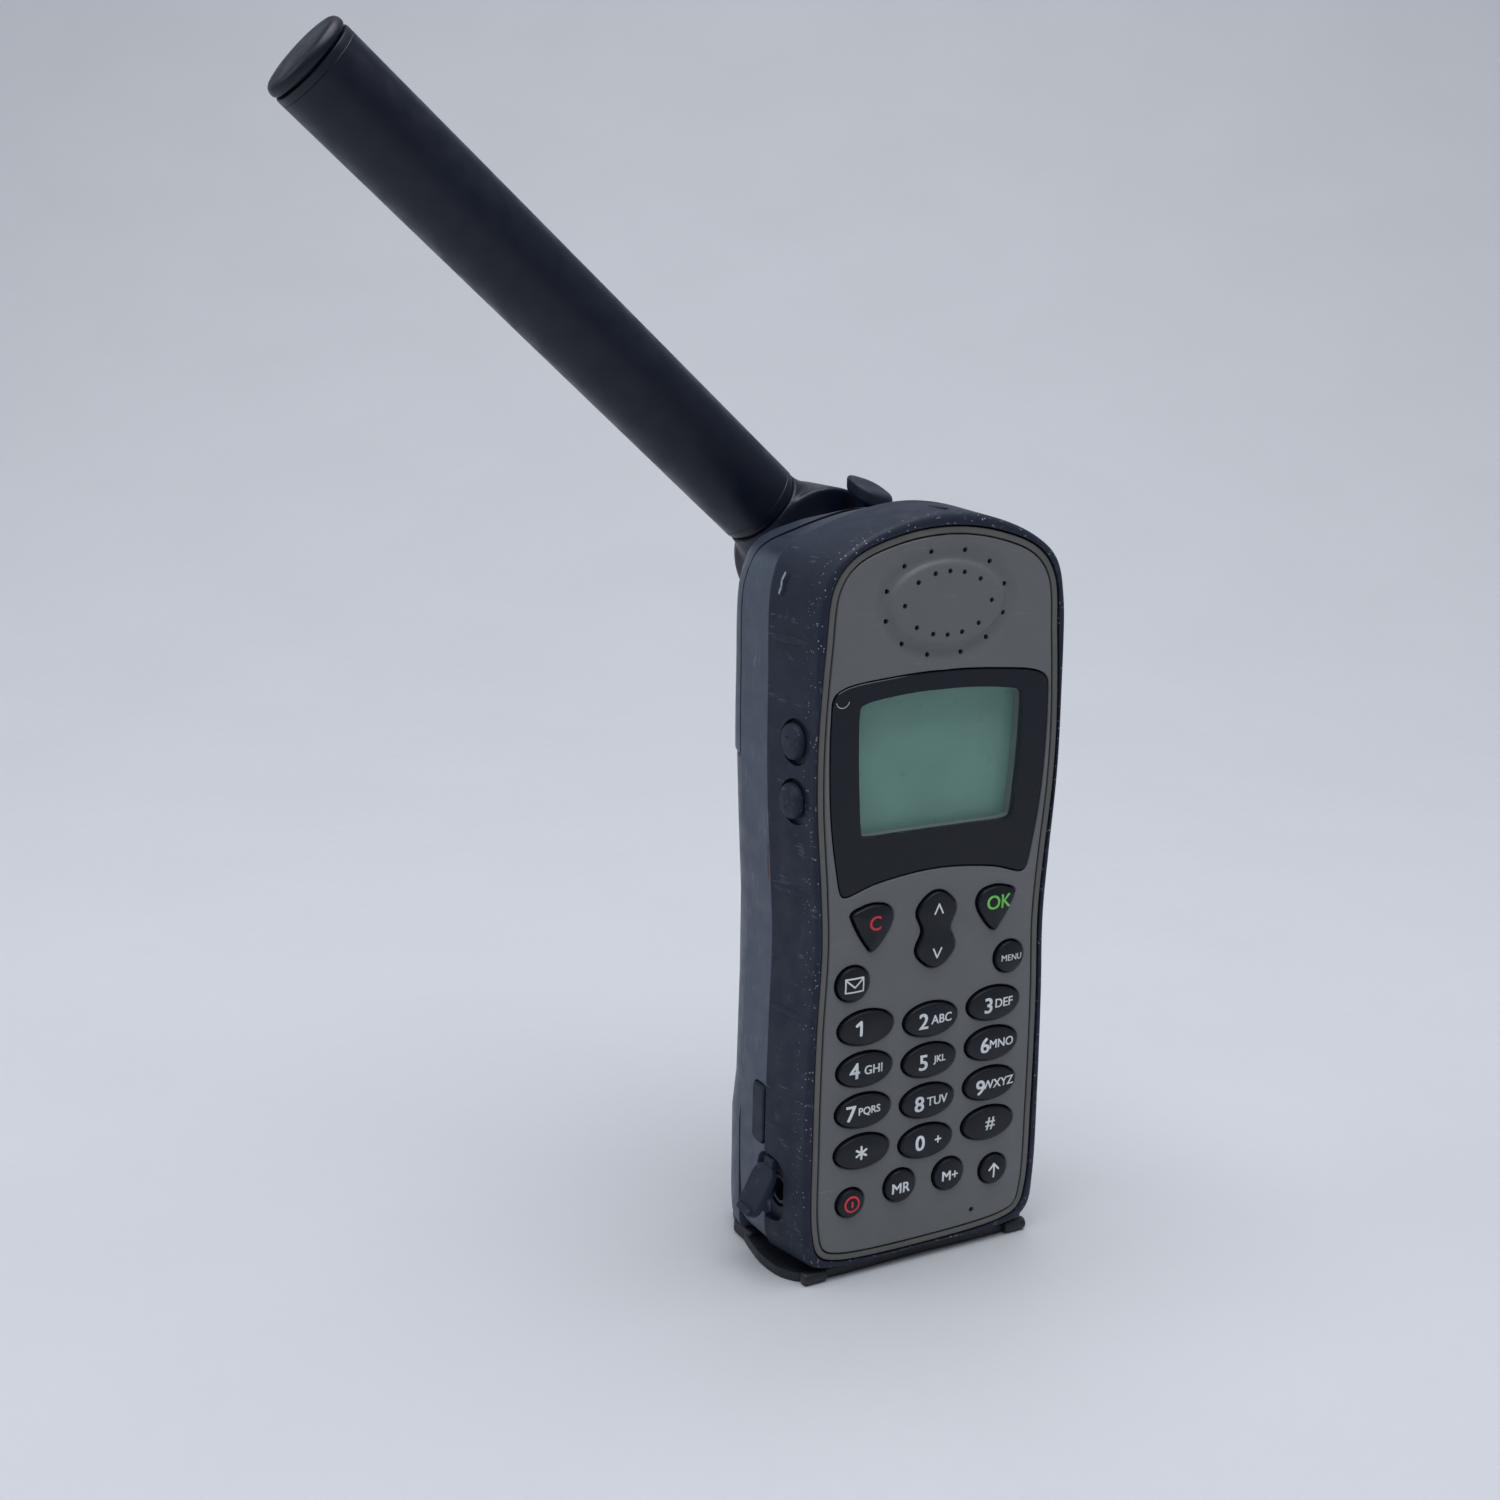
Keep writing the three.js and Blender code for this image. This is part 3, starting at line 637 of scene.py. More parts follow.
def printed(shell, centre, shape, scoop):
    """Lays a flat legend on a key's dome, just proud of it."""
    points, faces = refined(shell)
    points = points + centre
    top = grown(shape, -KEY_ROUND)
    dome = (KEY_DOME - hollow(points, top, scoop)) * (1 - share_out(points, top) ** 2)
    return ring(points, KEY_RIM - dome - PRINT_LIFT), faces


ONE = [[(-0.75, 0.7), (0.25, 1.35), (0.25, -1.35)]]
DIGIT_LEGENDS = {
    "1": ((-1.9, 0.3), None, 0), "2": ((-2.2, 0.1), "ABC", 2.1), "3": ((-1.75, -0.1), "DEF", 2.1),
    "4": ((-2.85, 0.3), "GHI", 1.55), "5": ((-1.9, 0), "JKL", 2.0), "6": ((-2.15, 0.1), "MNO", 2.0),
    "7": ((-3.3, 0.1), "PQRS", 0.95), "8": ((-2.45, -0.1), "TUV", 1.9), "9": ((-2.8, -0.3), "WXYZ", 1.6),
    "0": ((-1.9, 0.1), None, 0),
}


def star_lines():
    """Three strokes that cross in the middle."""
    angles = [math.pi / 2 + math.pi / 3 * i for i in range(3)]
    ends = [(1.3 * math.cos(a), 1.3 * math.sin(a)) for a in angles]
    return [[(-x, -z), (x, z)] for x, z in ends]


def arc_line(radius, sides=40):
    angles = 2 * np.pi * np.arange(sides + 1) / sides
    return [(radius * math.cos(a), radius * math.sin(a)) for a in angles]


def key_legends(name):
    """The legends on a key, each as a flat shell, its place and its finish."""
    shape = KEYS[name]
    middle = shape.mean(0)
    if name in DIGIT_LEGENDS:
        place_at, letters, along = DIGIT_LEGENDS[name]
        digit = strokes(ONE, 0.62) if name == "1" else lettering(name, 3.25, 0.1)
        found = [(digit, middle + place_at, "print_white")]
        if letters:
            found.append((lettering(letters, 1.85, 0.055), middle + (along, 0.15), "print_white"))
        if name == "0":
            plus = strokes([[(-0.65, 0), (0.65, 0)], [(0, -0.65), (0, 0.65)]], 0.38)
            found.append((plus, middle + (2.5, 0.2), "print_white"))
        return found
    box = [(-2.05, -1.4), (2.05, -1.4), (2.05, 1.4), (-2.05, 1.4), (-2.05, -1.4)]
    drawn = {
        "star": (strokes(star_lines(), 0.5), (-0.65, 0.1), "print_white"),
        "hash": (lettering("#", 2.7, 0.07), (0.1, 0.1), "print_white"),
        "mail": (strokes([box, [(-2.05, 1.3), (0, -0.45), (2.05, 1.3)]], 0.34), (0, 0), "print_white"),
        "menu": (lettering("MENU", 1.3, 0.02), (0.2, 0), "print_white"),
        "mr": (lettering("MR", 2.2, 0.07), (-0.1, -0.2), "print_white"),
        "mplus": (lettering("M+", 2.1, 0.07), (0, 0), "print_white"),
        "up": (strokes([[(0, -1.5), (0, 1.3)], [(-1.15, 0.2), (0, 1.45), (1.15, 0.2)]], 0.42),
               (-0.3, 0), "print_white"),
        "power": (strokes([arc_line(1.6), [(0, -0.5), (0, 0.5)]], 0.42), (0, 0), "print_red"),
        "c": (lettering("C", 2.9, 0.05), (-0.4, -0.4), "print_red"),
        "ok": (lettering("OK", 2.9, 0.05), (0.9, -0.1), "print_green"),
    }
    if name != "nav":
        shell, offset, finish = drawn[name]
        return [(shell, middle + offset, finish)]
    up = strokes([[(-0.95, -1), (0, 0.95), (0.95, -1)]], 0.36)
    down = strokes([[(-0.95, 1), (0, -0.95), (0.95, 1)]], 0.36)
    return [(up, np.array((0.4, 77.3)), "print_white"), (down, np.array((0.4, 67.9)), "print_white")]


def make_keys():
    for name, points in KEYS.items():
        scoop = NAV_SCOOP if name == "nav" else 0
        key = build(f"look_key_{name}", key_shell(points, scoop), LOOKS["key_black"])
        for shell, centre, finish in key_legends(name):
            add_shell(key, printed(shell, centre, points, scoop), LOOKS[finish])
        piece(key, f"key_{name}", "key_black", f"key_{name}")


# ---------------------------------------------------------------- face plate
def chamfered_hole(points, gap=0.35, chamfer=0.22):
    """A cutter for a hole a gap wider than points, flared at the plate's front."""
    steps = ((gap, 5), (gap, chamfer), (gap + chamfer, 0), (gap + chamfer, -3))
    return loft([ring(grown(points, grow), y) for grow, y in steps])


def ear_depth(share):
    """The ear piece's depth at a share of its dish's radius."""
    known = ((0, -0.5), (0.45, -0.46), (0.66, -0.38), (0.705, -0.26), (0.735, 0.02), (0.76, 0.38),
             (0.79, 0.6), (0.83, 0.68), (0.88, 0.56), (0.94, 0.24), (1, 0))
    return float(np.interp(share, *zip(*known)))


def face_plate_shell():
    """The plate without its ear piece, with a rounded front edge."""
    edge = 0.35
    rings = [ring(outline(PLATE_HALF, -0.15), PLATE_THICK), ring(outline(PLATE_HALF), PLATE_THICK - 0.15)]
    for a in np.radians((0, 30, 60, 90)):
        rings.append(ring(outline(PLATE_HALF, -edge * (1 - math.cos(a))), edge * (1 - math.sin(a))))
    return loft(rings)


def ear_ellipse(share):
    """The ear piece's contour, from its middle (0) through the disc's lip to the dish's rim (1)."""
    lip, rim = np.array(EAR_LIP), np.array(EAR_DISH)
    beyond = (share - EAR_LIP_SHARE) / (1 - EAR_LIP_SHARE)
    radii = lip * share / EAR_LIP_SHARE if beyond < 0 else lip + (rim - lip) * beyond
    return ellipse(0, EAR_Z, *radii, 120)


def ear_shell():
    """The dished ear piece, flush with the plate at its rim."""
    shares = (1, 0.97, 0.94, 0.91, 0.88, 0.855, 0.83, 0.81, 0.79, 0.775, 0.76, 0.748, 0.735, 0.72, 0.705,
              0.69, 0.66, 0.6, 0.5, 0.35, 0.2, 0.06)
    rings = [ring(ear_ellipse(EAR_RIM), y) for y in (PLATE_THICK, 0)]
    rings += [ring(ear_ellipse(share), ear_depth(share)) for share in shares]
    return loft(rings)


def sound_holes():
    """Cutters for the holes, which mirror about both axes of the ear piece."""
    holes = []
    for rx, rz, quarter in EAR_HOLES:
        around = {round(way * a + turn, 1) % 360
                  for a in quarter for way in (-1, 1) for turn in (0, 180)}
        for angle in np.radians(sorted(around)):
            at = (rx * math.cos(angle), EAR_Z + rz * math.sin(angle))
            holes.append(prism(ellipse(*at, 0.52, 0.52, 16), -3, 5))
    return merged(*holes)


def make_face_plate():
    plate = build("look_face_plate", face_plate_shell(), LOOKS["plate_grey"])
    microphone = prism(ellipse(*MICROPHONE, 0.6, 0.6, 16), -3, 5)
    cut(plate, merged(*[chamfered_hole(points) for points in KEYS.values()], microphone),
        chamfered_hole(outline(LENS_HALF), GAP, 0.15), prism(ear_ellipse(EAR_RIM), -3, 5))
    ear = build("ear", ear_shell(), LOOKS["plate_grey"])
    cut(ear, sound_holes())
    absorb(plate, ear)
    piece(plate, "chassis", "plate_grey", "face_plate")


def make_front_frame():
    """The front shell: its border shows round the plate."""
    steps = ((RING_WIDTH, SHELL_BACK), (RING_WIDTH, 0.35), (RING_WIDTH - 0.08, 0.16),
             (RING_WIDTH - 0.3, 0.06), (GAP + 0.3, 0.06), (GAP + 0.08, 0.16), (GAP, 0.35), (GAP, 1.8),
             (-1.6, 1.8), (-1.6, 3.0), (0.2, 3.0), (0.2, SHELL_BACK))
    shell = loft([ring(outline(PLATE_HALF, grow), y) for grow, y in steps], closed=True)
    obj = build("look_front_frame", shell, LOOKS["ring_grey"])
    cut(obj, prism(ellipse(*JACK, JACK_HOLE_R, JACK_HOLE_R, 40), -32, -20, "side"))
    piece(obj, "chassis", "plate_grey", "front_frame")


# ---------------------------------------------------------------- rubber and rear shells
def side_pocket(shape, flare, outside, mouth, neck):
    """A cutter for a pocket in the left side, wider by flare at its mouth."""
    steps = ((flare, outside), (flare, mouth), (0, neck), (0, POCKET_FLOOR))
    return loft([ring(grown(shape, grow), x, "side") for grow, x in steps])


def jack_pocket():
    y0, y1, z0, z1 = JACK_POCKET
    shape = rounded_box((y0 + y1) / 2, (z0 + z1) / 2, y1 - y0, z1 - z0, 3.6)
    return side_pocket(shape, 0.4, -36, -30.9, -30.4)


def half_width(half, z):
    """An outline's half width at a height."""
    points = outline(half)
    right = points[points[:, 0] > 0]
    order = np.argsort(right[:, 1])
    return float(np.interp(z, right[order, 1], right[order, 0]))


def blade(centre, along, across, normal, length, width, height):
    """A raised lens-shaped mark, narrower at one end."""
    rings = []
    for lift, share in ((-0.6, 1), (0, 1), (0.55, 0.82), (0.9, 0.55), (1, 0.2)):
        angle = 2 * np.pi * np.arange(48) / 48
        u = length * np.cos(angle) * share
        v = width * np.sin(angle) * (1 - 0.35 * np.cos(angle)) * share
        rings.append(centre + u[:, None] * along + v[:, None] * across + lift * height * normal)
    return loft(rings)


def grip_marks():
    """The raised marks down both sides, and the one on top."""
    marks = []
    right, depth, up = np.eye(3)
    for z in RIB_Z:
        front = np.array((half_width(FRONT_HALF, z), 1, z))
        rear = np.array((half_width(BODY_HALF, z), float(np.interp(z, *zip(*RUBBER_EDGE))), z))
        along = (front - rear) / np.linalg.norm(front - rear)
        for hand in ((-1, 1, 1), (1, 1, 1)):
            side = -np.cross(along, up) * hand
            marks.append(blade((front + rear) / 2 * hand, along * hand, up, side, *RIB_SIZE))
    marks.append(blade(np.array((1.5, 7.0, 156.75)), -depth, right, up, *TOP_RIB_SIZE))
    return marks


def edge_depth(points, edge):
    """The depth of a shell's edge at each point's height."""
    return np.interp(points[:, 1], *zip(*edge))


def side_mark(line, width, sink):
    """A mark along a (y, z) line on the left side, on a surface sunk this far into the outline."""
    points, faces = refined(strokes([line], width))
    x = [sink - half_width(BODY_HALF, z) - PRINT_LIFT for z in points[:, 1]]
    return ring(points, x, "side"), faces


def button_pockets():
    holes = [ellipse(POCKET_Y, z, POCKET_R, POCKET_R, 64) for z in VOLUME_Z.values()]
    return merged(*[side_pocket(hole, 0.5, -34, -31, -30.3) for hole in holes])


def make_bezel():
    body, front = outline(BODY_HALF), outline(FRONT_HALF)
    mouth = outline(PLATE_HALF, RING_WIDTH + GAP)
    rear = edge_depth(body, RUBBER_EDGE)
    rings = [ring(grown(body, -0.35), rear), ring(body, rear - 0.35)]
    for share in (0.25, 0.5, 0.75, 1):
        rings.append(ring(body + (front - body) * share, rear - 0.35 + (1.35 - rear) * share))
    for a in np.radians((18, 36, 54, 72, 90)):
        rings.append(ring(mouth + (front - mouth) * (0.25 + 0.75 * math.cos(a)), 1 - 1.2 * math.sin(a)))
    for grow, y in ((0.05, BEZEL_FRONT + 0.12), (0, BEZEL_FRONT + 0.4)):
        rings.append(ring(grown(mouth, grow), y))
    rings.append(ring(mouth, rear))
    obj = build("look_bezel", loft(rings, closed=True), LOOKS["rubber"])
    cut(obj, button_pockets(), jack_pocket(),
        prism(ellipse(*JACK, JACK_HOLE_R, JACK_HOLE_R, 40), -33, -20, "side"),
        prism(rounded_box(0, 8.5, 22, 7.8, 1.2), 0, 8, "up"))
    for mark in grip_marks():
        add_shell(obj, mark, LOOKS["rubber"])
    chip = [(11.3, 144.8), (11.9, 143.4), (11.6, 142.2), (12.0, 141)]
    add_shell(obj, side_mark(chip, 0.6, 0.02), LOOKS["chip_pale"])
    piece(obj, "chassis", "rubber", "bezel_overmould")


def make_rear_housing():
    inner, middle, outer = (outline(REAR_HALF, grow) for grow in (-2.2, -0.8, -0.4))
    rear = edge_depth(outer, REAR_EDGE)
    rings = [ring(inner, REAR_FLOOR), ring(inner, rear - 0.1), ring(grown(inner, 0.1), rear)]
    rings += [ring(middle, rear), ring(grown(outer, -0.1), rear - 0.12), ring(outer, rear - 0.4)]
    middle, outer = outline(BODY_HALF, -0.8), outline(BODY_HALF, -0.4)
    front = edge_depth(outer, RUBBER_EDGE) + 0.3
    rings += [ring(outer, front + 0.3), ring(grown(outer, -0.15), front + 0.06), ring(middle, front)]
    hollow = outline(BODY_HALF, -3.6)
    rings += [ring(hollow, front), ring(hollow, REAR_FLOOR - 1.6)]
    obj = build("look_rear_housing", loft(rings), LOOKS["housing"])
    y, z, width, height = SLOT
    cut(obj, jack_pocket(), prism(rounded_box(y, z, width + 0.7, height + 0.7, 1.4), -33, -29.2, "side"),
        prism(rounded_box(0, 51, 14, 6, 1), 20, 24),
        prism(ellipse(*HINGE, HINGE_HOLE_R, HINGE_HOLE_R, 48), 12, 24),
        merged(*[prism(ellipse(*at, 2.6, 2.6, 32), REAR_FLOOR - 1.9, 30) for at in SCREWS]))
    scuff = [(15.4, 90), (15.6, 87), (15.5, 83.5)]
    add_shell(obj, side_mark(scuff, 0.5, 0.4), LOOKS["scuff_brown"])
    piece(obj, "chassis", "housing", "rear_housing")


# ---------------------------------------------------------------- back
def back_section(width, height, rear, inset):
    """A plan section (x, y) of a back part: a shell out to rear, and a narrower tongue forward of it."""
    mirrored = [(-x, y) for x, y in BACK_PLAN[:-1]][::-1]
    plan = centripetal(list(BACK_PLAN) + mirrored, 6)[:-6]
    start = float(np.interp(height, *zip(*REAR_EDGE))) + GAP
    deep = max(rear - start, 0.4) - inset
    skin = np.stack([plan[:, 0] * (width - inset) / BACK_HALF_WIDTH,
                     start + plan[:, 1] * deep / BACK_DEEP], 1)
    tongue = width - 2.6
    left = [(-tongue, start), (-tongue, BACK[0])]
    right = [(tongue, BACK[0]), (tongue, start)]
    return np.vstack([skin, left, right])


def make_upper_back():
    heights = [BACK_SPLIT_Z + GAP + h for h in (0, 0.1, 0.25, 0.5)]
    heights += list(np.linspace(108, 146, 14)) + list(np.linspace(147, 154.8, 24))
    rings = []
    for z in heights:
        inset = 0.5 * max(0, 1 - (z - heights[0]) / 0.5) ** 2
        width = max(half_width(REAR_HALF, z) - 0.6, 4)
        rear = BACK[0] + BACK_DEEP * float(np.interp(z, *zip(*CROWN)))
        rings.append(ring(back_section(width, z, rear, inset), z, "up"))
    obj = build("look_upper_back", loft(rings), LOOKS["housing"])
    cut(obj, prism(ellipse(*HINGE, 9.2, 9.2, 64), BACK[1] - 1, 45),
        prism(ellipse(*HINGE, HINGE_HOLE_R, HINGE_HOLE_R, 48), 22, 45),
        prism(rounded_box(2.9, 33, 12.4, 14, 3), 154.6, 165, "up"),
        prism(rounded_box(3, 33.1, 6.8, 7, 0.6), 149, 156, "up"))
    piece(obj, "chassis", "housing", "upper_back")


def groove_depth(z):
    """How deep the battery's finger grooves are at a height."""
    low, high = GROOVE_Z
    if not low < z < high:
        return 0
    return GROOVE_DEPTH * max(0, math.sin(math.pi * (z - low) / GROOVE_WIDTH)) ** 2


def make_battery():
    heights = [BATTERY_FOOT, 2.85, 3.2, 3.8, 4.6] + list(np.linspace(6, 84, 40))
    heights += list(np.linspace(84.5, 101, 50)) + [103, 104.6, 105.2, 105.45, 105.6, BACK_SPLIT_Z]
    rings = []
    for z in heights:
        inset = 1.6 * max(0, 1 - (z - BATTERY_FOOT) / 1.9) ** 2
        inset += 0.5 * max(0, 1 - (BACK_SPLIT_Z - z) / 0.6) ** 2
        section = back_section(float(np.interp(z, *zip(*BATTERY_WIDTH))), z, BACK[1], inset)
        middle = np.clip((17 - np.abs(section[:, 0])) / 2.5, 0, 1) * (section[:, 1] > 32)
        section[:, 1] -= groove_depth(z) * middle
        rings.append(ring(section, z, "up"))
    obj = build("look_battery", loft(rings), LOOKS["housing"])
    cut(obj, prism(rounded_box(0, 68, 30, 48, 1), BACK[0] - 1, 25.4))
    piece(obj, "battery", "housing", "battery_pack")


def make_base():
    plan = outline(FOOT_PLAN)
    steps = ((-0.35, 0), (-0.1, 0.1), (0, 0.35), (0, 1.5), (-0.15, 1.95), (-0.5, 2.1))
    obj = build("look_base_shoe", loft([ring(grown(plan, g), z, "up") for g, z in steps]),
                LOOKS["black_plastic"])
    cut(obj, prism(rounded_box(0, 9.5, 26.7, 11.8, 0.6), -1, 4, "up"))
    for hand in (-1, 1):
        knob = pad(ellipse(1.6, 1.35, 1.35, 1.35, 40), 22.3 * hand, 27.7 * hand, "side", 0.5, 0.5)
        add_shell(obj, knob, LOOKS["black_plastic"])
        lug = pad(rounded_box(24.5, 1.6, 7.5, 3.0, 0.7), 26.6 * hand, 29.3 * hand, "side", 0.5)
        add_shell(obj, lug, LOOKS["black_plastic"])
    piece(obj, "chassis", "black_plastic", "base_shoe")
    door = build("look_base_door", pad(rounded_box(0, 9.6, 26, 10.8, 0.9), 1.8, 0.3, "up", 0.3, 0.2),
                 LOOKS["rubber"])
    cut(door, prism(ellipse(0, 4.4, 3.2, 1.5, 32), -1, 0.9, "up"))
    piece(door, "base_door", "rubber", "base_door")


# ---------------------------------------------------------------- display
def make_display():
    lens, window = outline(LENS_HALF), outline(WINDOW_HALF)
    rings = [ring(window, 1.4), ring(lens, 1.4), ring(lens, 0.15), ring(grown(lens, -0.15), 0),
             ring(window, 0)]
    obj = build("look_display_window", loft(rings, closed=True), LOOKS["lens"])
    pane = loft([ring(window, 1.0), ring(window, 0.02), ring(scaled(window, 0.5), 0.02)])
    add_shell(obj, pane, LOOKS["lens_clear"])
    curl = [(-23.1 + 1.4 * math.cos(a), 121.4 + 1.2 * math.sin(a)) for a in np.linspace(3.3, 6.2, 12)]
    mark, faces = strokes([curl], 0.14)
    add_shell(obj, (ring(mark, -0.02), faces), LOOKS["print_white"])
    piece(obj, "chassis", "lens", "display_window")
    wall = [(0, 1.45), (0, LCD_DEPTH - 0.1), (1.6, LCD_DEPTH - 0.1), (1.6, 1.45)]
    tunnel = loft([ring(grown(window, g), y) for g, y in wall], closed=True)
    surround = build("look_window_surround", tunnel, LOOKS["lcd_wall"])
    piece(surround, "chassis", "white_plastic")
    panel = build("look_lcd", pad(rounded_box(0, 107.3, 44, 32.6, 1), 5.4, LCD_DEPTH, "front", 0.25, 0.2),
                  LOOKS["lcd_green"])
    piece(panel, "chassis", "lcd_green", "lcd_module")


# ---------------------------------------------------------------- side pieces
def side_strokes(lines, width, centre, x):
    points, faces = strokes(lines, width)
    return ring(points + centre, x, "side"), faces


def make_volume_buttons():
    for name, z in VOLUME_Z.items():
        rim = ellipse(VOLUME_Y, z, VOLUME_R, VOLUME_R, 64)
        steps = ((0, -29.3), (0, -29.9), (-0.12, -30.4), (-0.4, -30.75), (-0.85, -31.0), (-1.4, -31.15),
                 (-2.2, -31.25), (-3.1, -31.3))
        dome = loft([ring(grown(rim, g), x, "side") for g, x in steps])
        obj = build(f"look_{name}", dome, LOOKS["rubber"])
        add_shell(obj, prism(ellipse(VOLUME_Y, z, 1.6, 1.6, 32), -29.3, -26, "side"), LOOKS["rubber"])
        way = 1 if name == "volume_up" else -1
        arrow = [[(-1.2, -0.5 * way), (0, 0.9 * way), (1.2, -0.5 * way)]]
        add_shell(obj, side_strokes(arrow, 0.4, (VOLUME_Y, z), -31.33), LOOKS["black_plastic"])
        piece(obj, name, "rubber", name)


def make_jack():
    bore = ellipse(*JACK, 3.2, 3.2, 48)
    tube = [ring(bore, -19, "side"), ring(bore, -28.35, "side"), ring(grown(bore, -0.2), -28.55, "side"),
            ring(grown(bore, -0.8), -28.55, "side"), ring(grown(bore, -0.9), -28.3, "side"),
            ring(grown(bore, -0.9), -20, "side")]
    obj = build("look_headset_jack", loft(tube), LOOKS["black_plastic"])
    add_shell(obj, pad(rounded_box(10.2, 17.8, 6, 6.4, 0.5), -17.5, -22, "side"), LOOKS["black_plastic"])
    piece(obj, "chassis", "black_plastic", "headset_jack")
    make_jack_cover()
    plug = build("look_slot_plug", pad(rounded_box(*SLOT, 1.1), -29.5, -31, "side", 0.45), LOOKS["rubber"])
    add_shell(plug, prism(ellipse(SLOT[0], SLOT[1], 1, 1, 24), -29.6, -26, "side"), LOOKS["rubber"])
    piece(plug, "slot_plug", "rubber", "slot_plug")


def make_jack_cover():
    pivot = np.array((-30, 0, 24.0))
    leaf = rounded_box(11.1, 17.4, 7.4, 11.2, 3.0)
    shells = [
        pad(leaf, -29.3, -30.9, "side", 0.5, 0.3),
        pad(rounded_box(11.1, 22.9, 3.4, 3.4, 0.6), -29.4, -30.6, "side", 0.3),
        pad(rounded_box(11.1, 12.9, 5.2, 1.5, 0.6), -30.6, -31.6, "side", 0.35),
        loft([ring(ellipse(-30, 24, 0.85, 0.85, 24), 9.5), ring(ellipse(-30, 24, 0.85, 0.85, 24), 12.7)]),
        pad(ellipse(*JACK, 1.7, 1.7, 32), -29.6, -27.5, "side", 0.4),
    ]
    points, faces = merged(*shells)
    points = turn_y(points - pivot, math.radians(28)) + pivot
    obj = build("look_jack_cover", (points, faces), LOOKS["rubber"])
    piece(obj, "jack_cover", "rubber", "jack_cover")


def tab_slope(points):
    """How much higher the release tab's top is at each point than at its middle."""
    return TAB_RISE * (points[:, 1] - TAB[1]) - TAB_LEAN * (points[:, 0] - TAB[0])


def make_release_tab():
    """A thumb tongue that rises towards the back and the left."""
    points, faces = pad(rounded_box(*TAB, 8.6, 9.4, 3.6), *TAB_Z, "up", 0.9, 0.8)
    points[:, 2] += tab_slope(points)
    obj = build("look_release_tab", (points, faces), LOOKS["rubber"])
    add_shell(obj, prism(rounded_box(3, 34, 5.2, 3.2, 0.5), 150.4, 156.6, "up"), LOOKS["rubber"])
    arrow, faces = strokes([[(1.4, 35.4), (4, 35.4)], [(2.4, 34.3), (1.3, 35.4), (2.4, 36.5)]], 0.35)
    height = TAB_Z[1] + 0.04 + tab_slope(arrow)
    add_shell(obj, (ring(arrow, height, "up"), faces), LOOKS["black_plastic"])
    piece(obj, "release_tab", "rubber", "top_release_tab")


# ---------------------------------------------------------------- antenna
def antenna(points):
    """From the upright antenna about its hinge to the design frame."""
    return turn_y(points, ANTENNA_TILT) + (HINGE[0], ANTENNA_Y, HINGE[1])


def antenna_piece(name, rings, look, node, closed=False):
    points, faces = loft(rings, closed)
    obj = build(name, (antenna(points), faces), LOOKS[look])
    piece(obj, "antenna", look, node)


def make_elbow():
    lip = TUBE_R - 0.05
    horn = turned([(14.4, 0), (14.1, 1.5), (13.5, 3.4), (12.7, 5), (11.8, 6.8), (10.9, 8.8), (10.1, 11),
                   (9.4, 13), (lip, 14.2), (lip, 15)], 72, ry=TUBE_R)
    angle = 2 * np.pi * np.arange(96) / 96
    circle = np.stack([np.cos(angle), np.sin(angle)], 1)
    rounding = ((14.2, -2 * TUBE_R), (14.6, 0.4 - 2 * TUBE_R), (14.6, -3.9), (14.1, -2.3), (13, -1),
                (11, -0.2), (8, 0))
    drum = [ring(circle * r, TUBE_R + y) for r, y in rounding]
    points, faces = merged(loft(horn), loft(drum))
    obj = build("look_antenna_elbow", (antenna(points), faces), LOOKS["antenna_black"])
    remesh = obj.modifiers.new("remesh", "REMESH")
    remesh.mode = "VOXEL"
    remesh.voxel_size = 0.4 * MM
    smooth = obj.modifiers.new("smooth", "SMOOTH")
    smooth.factor = 0.5
    smooth.iterations = 6
    bake(obj)
    piece(obj, "antenna", "antenna_black", "antenna_elbow", angle=60)


def tube_profile(foot, head):
    """The tube's wall, with a fine moulding groove at each end."""
    inner = TUBE_R - 1.5
    edge = ((-0.4, 0), (-0.1, 0.1), (0, 0.4), (0, 1.5), (-0.08, 1.6), (0, 1.7))
    wall = [(inner, foot)] + [(TUBE_R + r, foot + h) for r, h in edge]
    wall += [(TUBE_R, h) for h in np.linspace(foot + 5, head - 5, 12)]
    wall += [(TUBE_R + r, head - h) for r, h in edge[::-1]] + [(inner, head)]
    return wall


def make_antenna():
    make_elbow()
    foot, head = SEAM + 1.0, TUBE_END - 2.7
    tube = turned(tube_profile(foot, head), 128)
    antenna_piece("look_antenna_tube", tube, "antenna_black", "antenna_tube", closed=True)
    bead = [(-0.5, -2.3), (-0.15, -2.15), (0, -1.8), (0, -1.4), (-0.12, -0.9), (-0.4, -0.45), (-0.9, -0.15),
            (-1.6, 0), (-3, 0.05), (-6, 0.1)]
    cap = turned([(TUBE_R - 1.9, TUBE_END - 8), (TUBE_R - 1.9, TUBE_END - 2.3)]
                 + [(TUBE_R + r, TUBE_END + h) for r, h in bead], 128)
    antenna_piece("look_antenna_cap", cap, "antenna_black", "antenna_cap")
    groove = ((-1.7, 0), (-1, 0), (-0.9, 0.3), (-1, 0.9), (-1.7, 0.9))
    seam = turned([(TUBE_R + r, SEAM + h) for r, h in groove])
    antenna_piece("look_antenna_ring", seam, "black_plastic", "antenna_base_ring", closed=True)


# ---------------------------------------------------------------- stage
STAGE_FORWARD = (0.485, 0.8745)
STAGE_HALF_WIDTH = 2.4
FLOOR_NEAR = -1.6
BEND_START = 0.35
BEND_R = 1.2
BACKDROP_TOP = 2.6


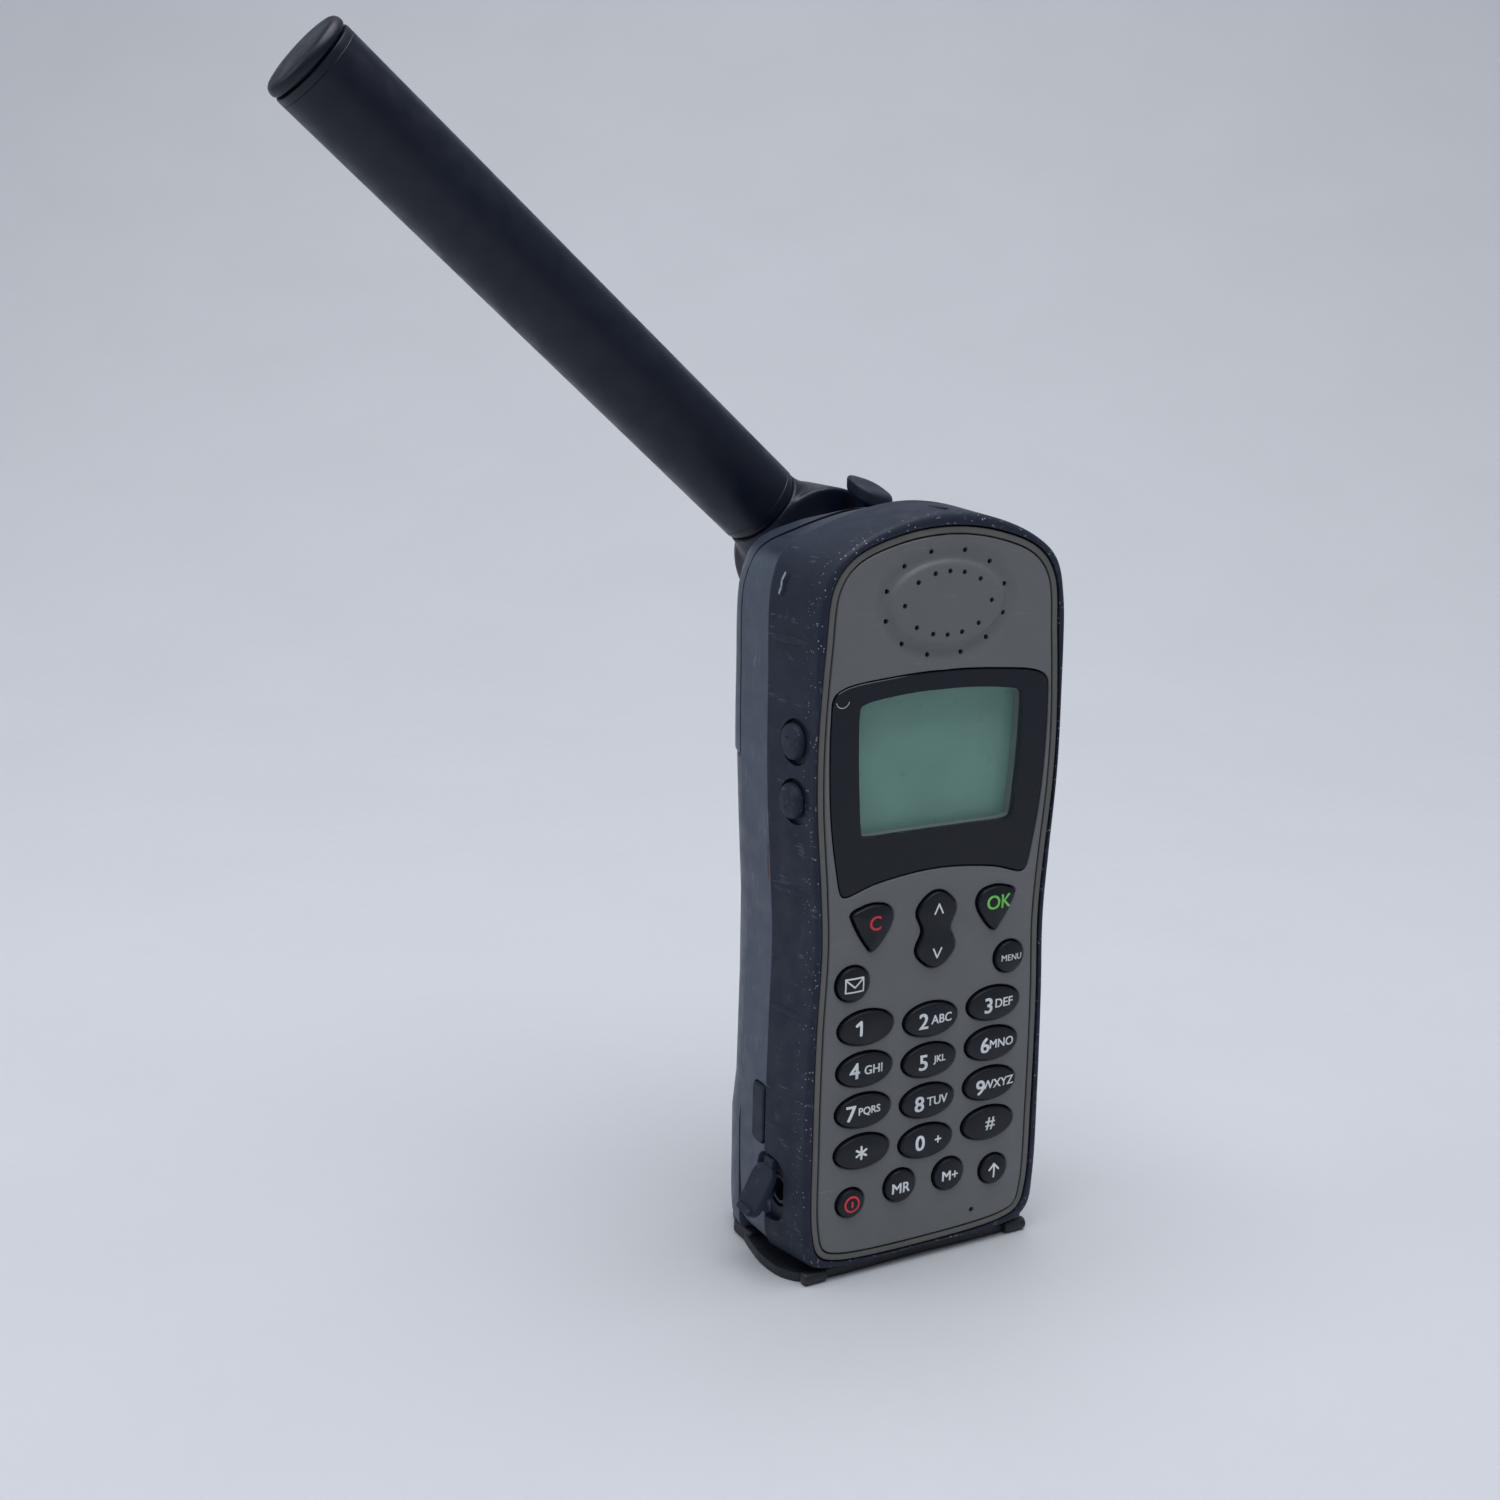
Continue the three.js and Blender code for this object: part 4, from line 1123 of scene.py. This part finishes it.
def make_stage():
    """A pale floor, in metres, that curves up into a backdrop behind the phone."""
    path = [(FLOOR_NEAR, 0), (BEND_START, 0)]
    path += [(BEND_START + BEND_R * math.sin(a), BEND_R - BEND_R * math.cos(a))
             for a in np.linspace(0.05, math.pi / 2, 24)]
    path.append((BEND_START + BEND_R, BACKDROP_TOP))
    east, north = STAGE_FORWARD
    forward, side = Vector((east, north, 0)), Vector((north, -east, 0))
    points = [forward * u + side * w * STAGE_HALF_WIDTH + Vector((0, 0, v))
              for u, v in path for w in (-1, 1)]
    faces = [(2 * i, 2 * i + 1, 2 * i + 3, 2 * i + 2) for i in range(len(path) - 1)]
    mesh = bpy.data.meshes.new("floor")
    mesh.from_pydata(points, [], faces)
    mesh.shade_smooth()
    floor = bpy.data.objects.new("floor", mesh)
    bpy.context.scene.collection.objects.link(floor)
    look = Look("floor", srgb(205, 208, 214), 0.012, 14)
    mesh.materials.append(look.done(0.55, 900, 0.02, Specular_IOR_Level=0.3))


def area_light(name, at, towards, size, power, colour):
    data = bpy.data.lights.new(name, "AREA")
    data.shape = "DISK"
    data.size = size
    data.energy = power
    data.color = colour
    light = bpy.data.objects.new(name, data)
    light.location = at
    light.rotation_euler = (Vector(towards) - Vector(at)).to_track_quat("-Z", "Y").to_euler()
    bpy.context.scene.collection.objects.link(light)


def make_light():
    world = bpy.data.worlds.new("studio")
    world.use_nodes = True
    world.node_tree.nodes["Background"].inputs["Color"].default_value = (0.87, 0.93, 1, 1)
    world.node_tree.nodes["Background"].inputs["Strength"].default_value = 0.24
    bpy.context.scene.world = world
    area_light("overhead", (0.0, -0.1, 1.5), (0, -0.02, 0.05), 1.6, 23, (0.97, 0.985, 1))
    area_light("left", (-1.1, 0.5, 0.8), (0, 0, 0.1), 0.8, 2.5, (0.96, 0.98, 1))


def make_camera():
    data = bpy.data.cameras.new("camera")
    data.sensor_width = 36
    data.lens = 46.27
    data.clip_start = 0.01
    camera = bpy.data.objects.new("camera", data)
    right = Vector((0.8766, -0.4808, 0.0183))
    up = Vector((0.0975, 0.2147, 0.9718))
    back = Vector((-0.4712, -0.8501, 0.2351))
    at = Vector((-0.21135, -0.32370, 0.19808))
    turn = Matrix((right, up, back)).transposed()
    camera.matrix_world = Matrix.Translation(at) @ turn.to_4x4()
    bpy.context.scene.collection.objects.link(camera)
    bpy.context.scene.camera = camera


def dress_inner_nodes():
    """Gives each CAD node that still shows the finish of its material slot."""
    for part in frame["record"]["subparts"]:
        node = frame["nodes"][part["node"]]
        if node.hide_render:
            continue
        node.data.materials.clear()
        node.data.materials.append(LOOKS[part["material_slot"]])


make_face_plate()
make_front_frame()
make_keys()
make_display()
make_bezel()
make_rear_housing()
make_upper_back()
make_battery()
make_base()
make_volume_buttons()
make_jack()
make_release_tab()
make_antenna()
dress_inner_nodes()
make_stage()
make_light()
make_camera()
bpy.context.scene.view_settings.view_transform = "Standard"
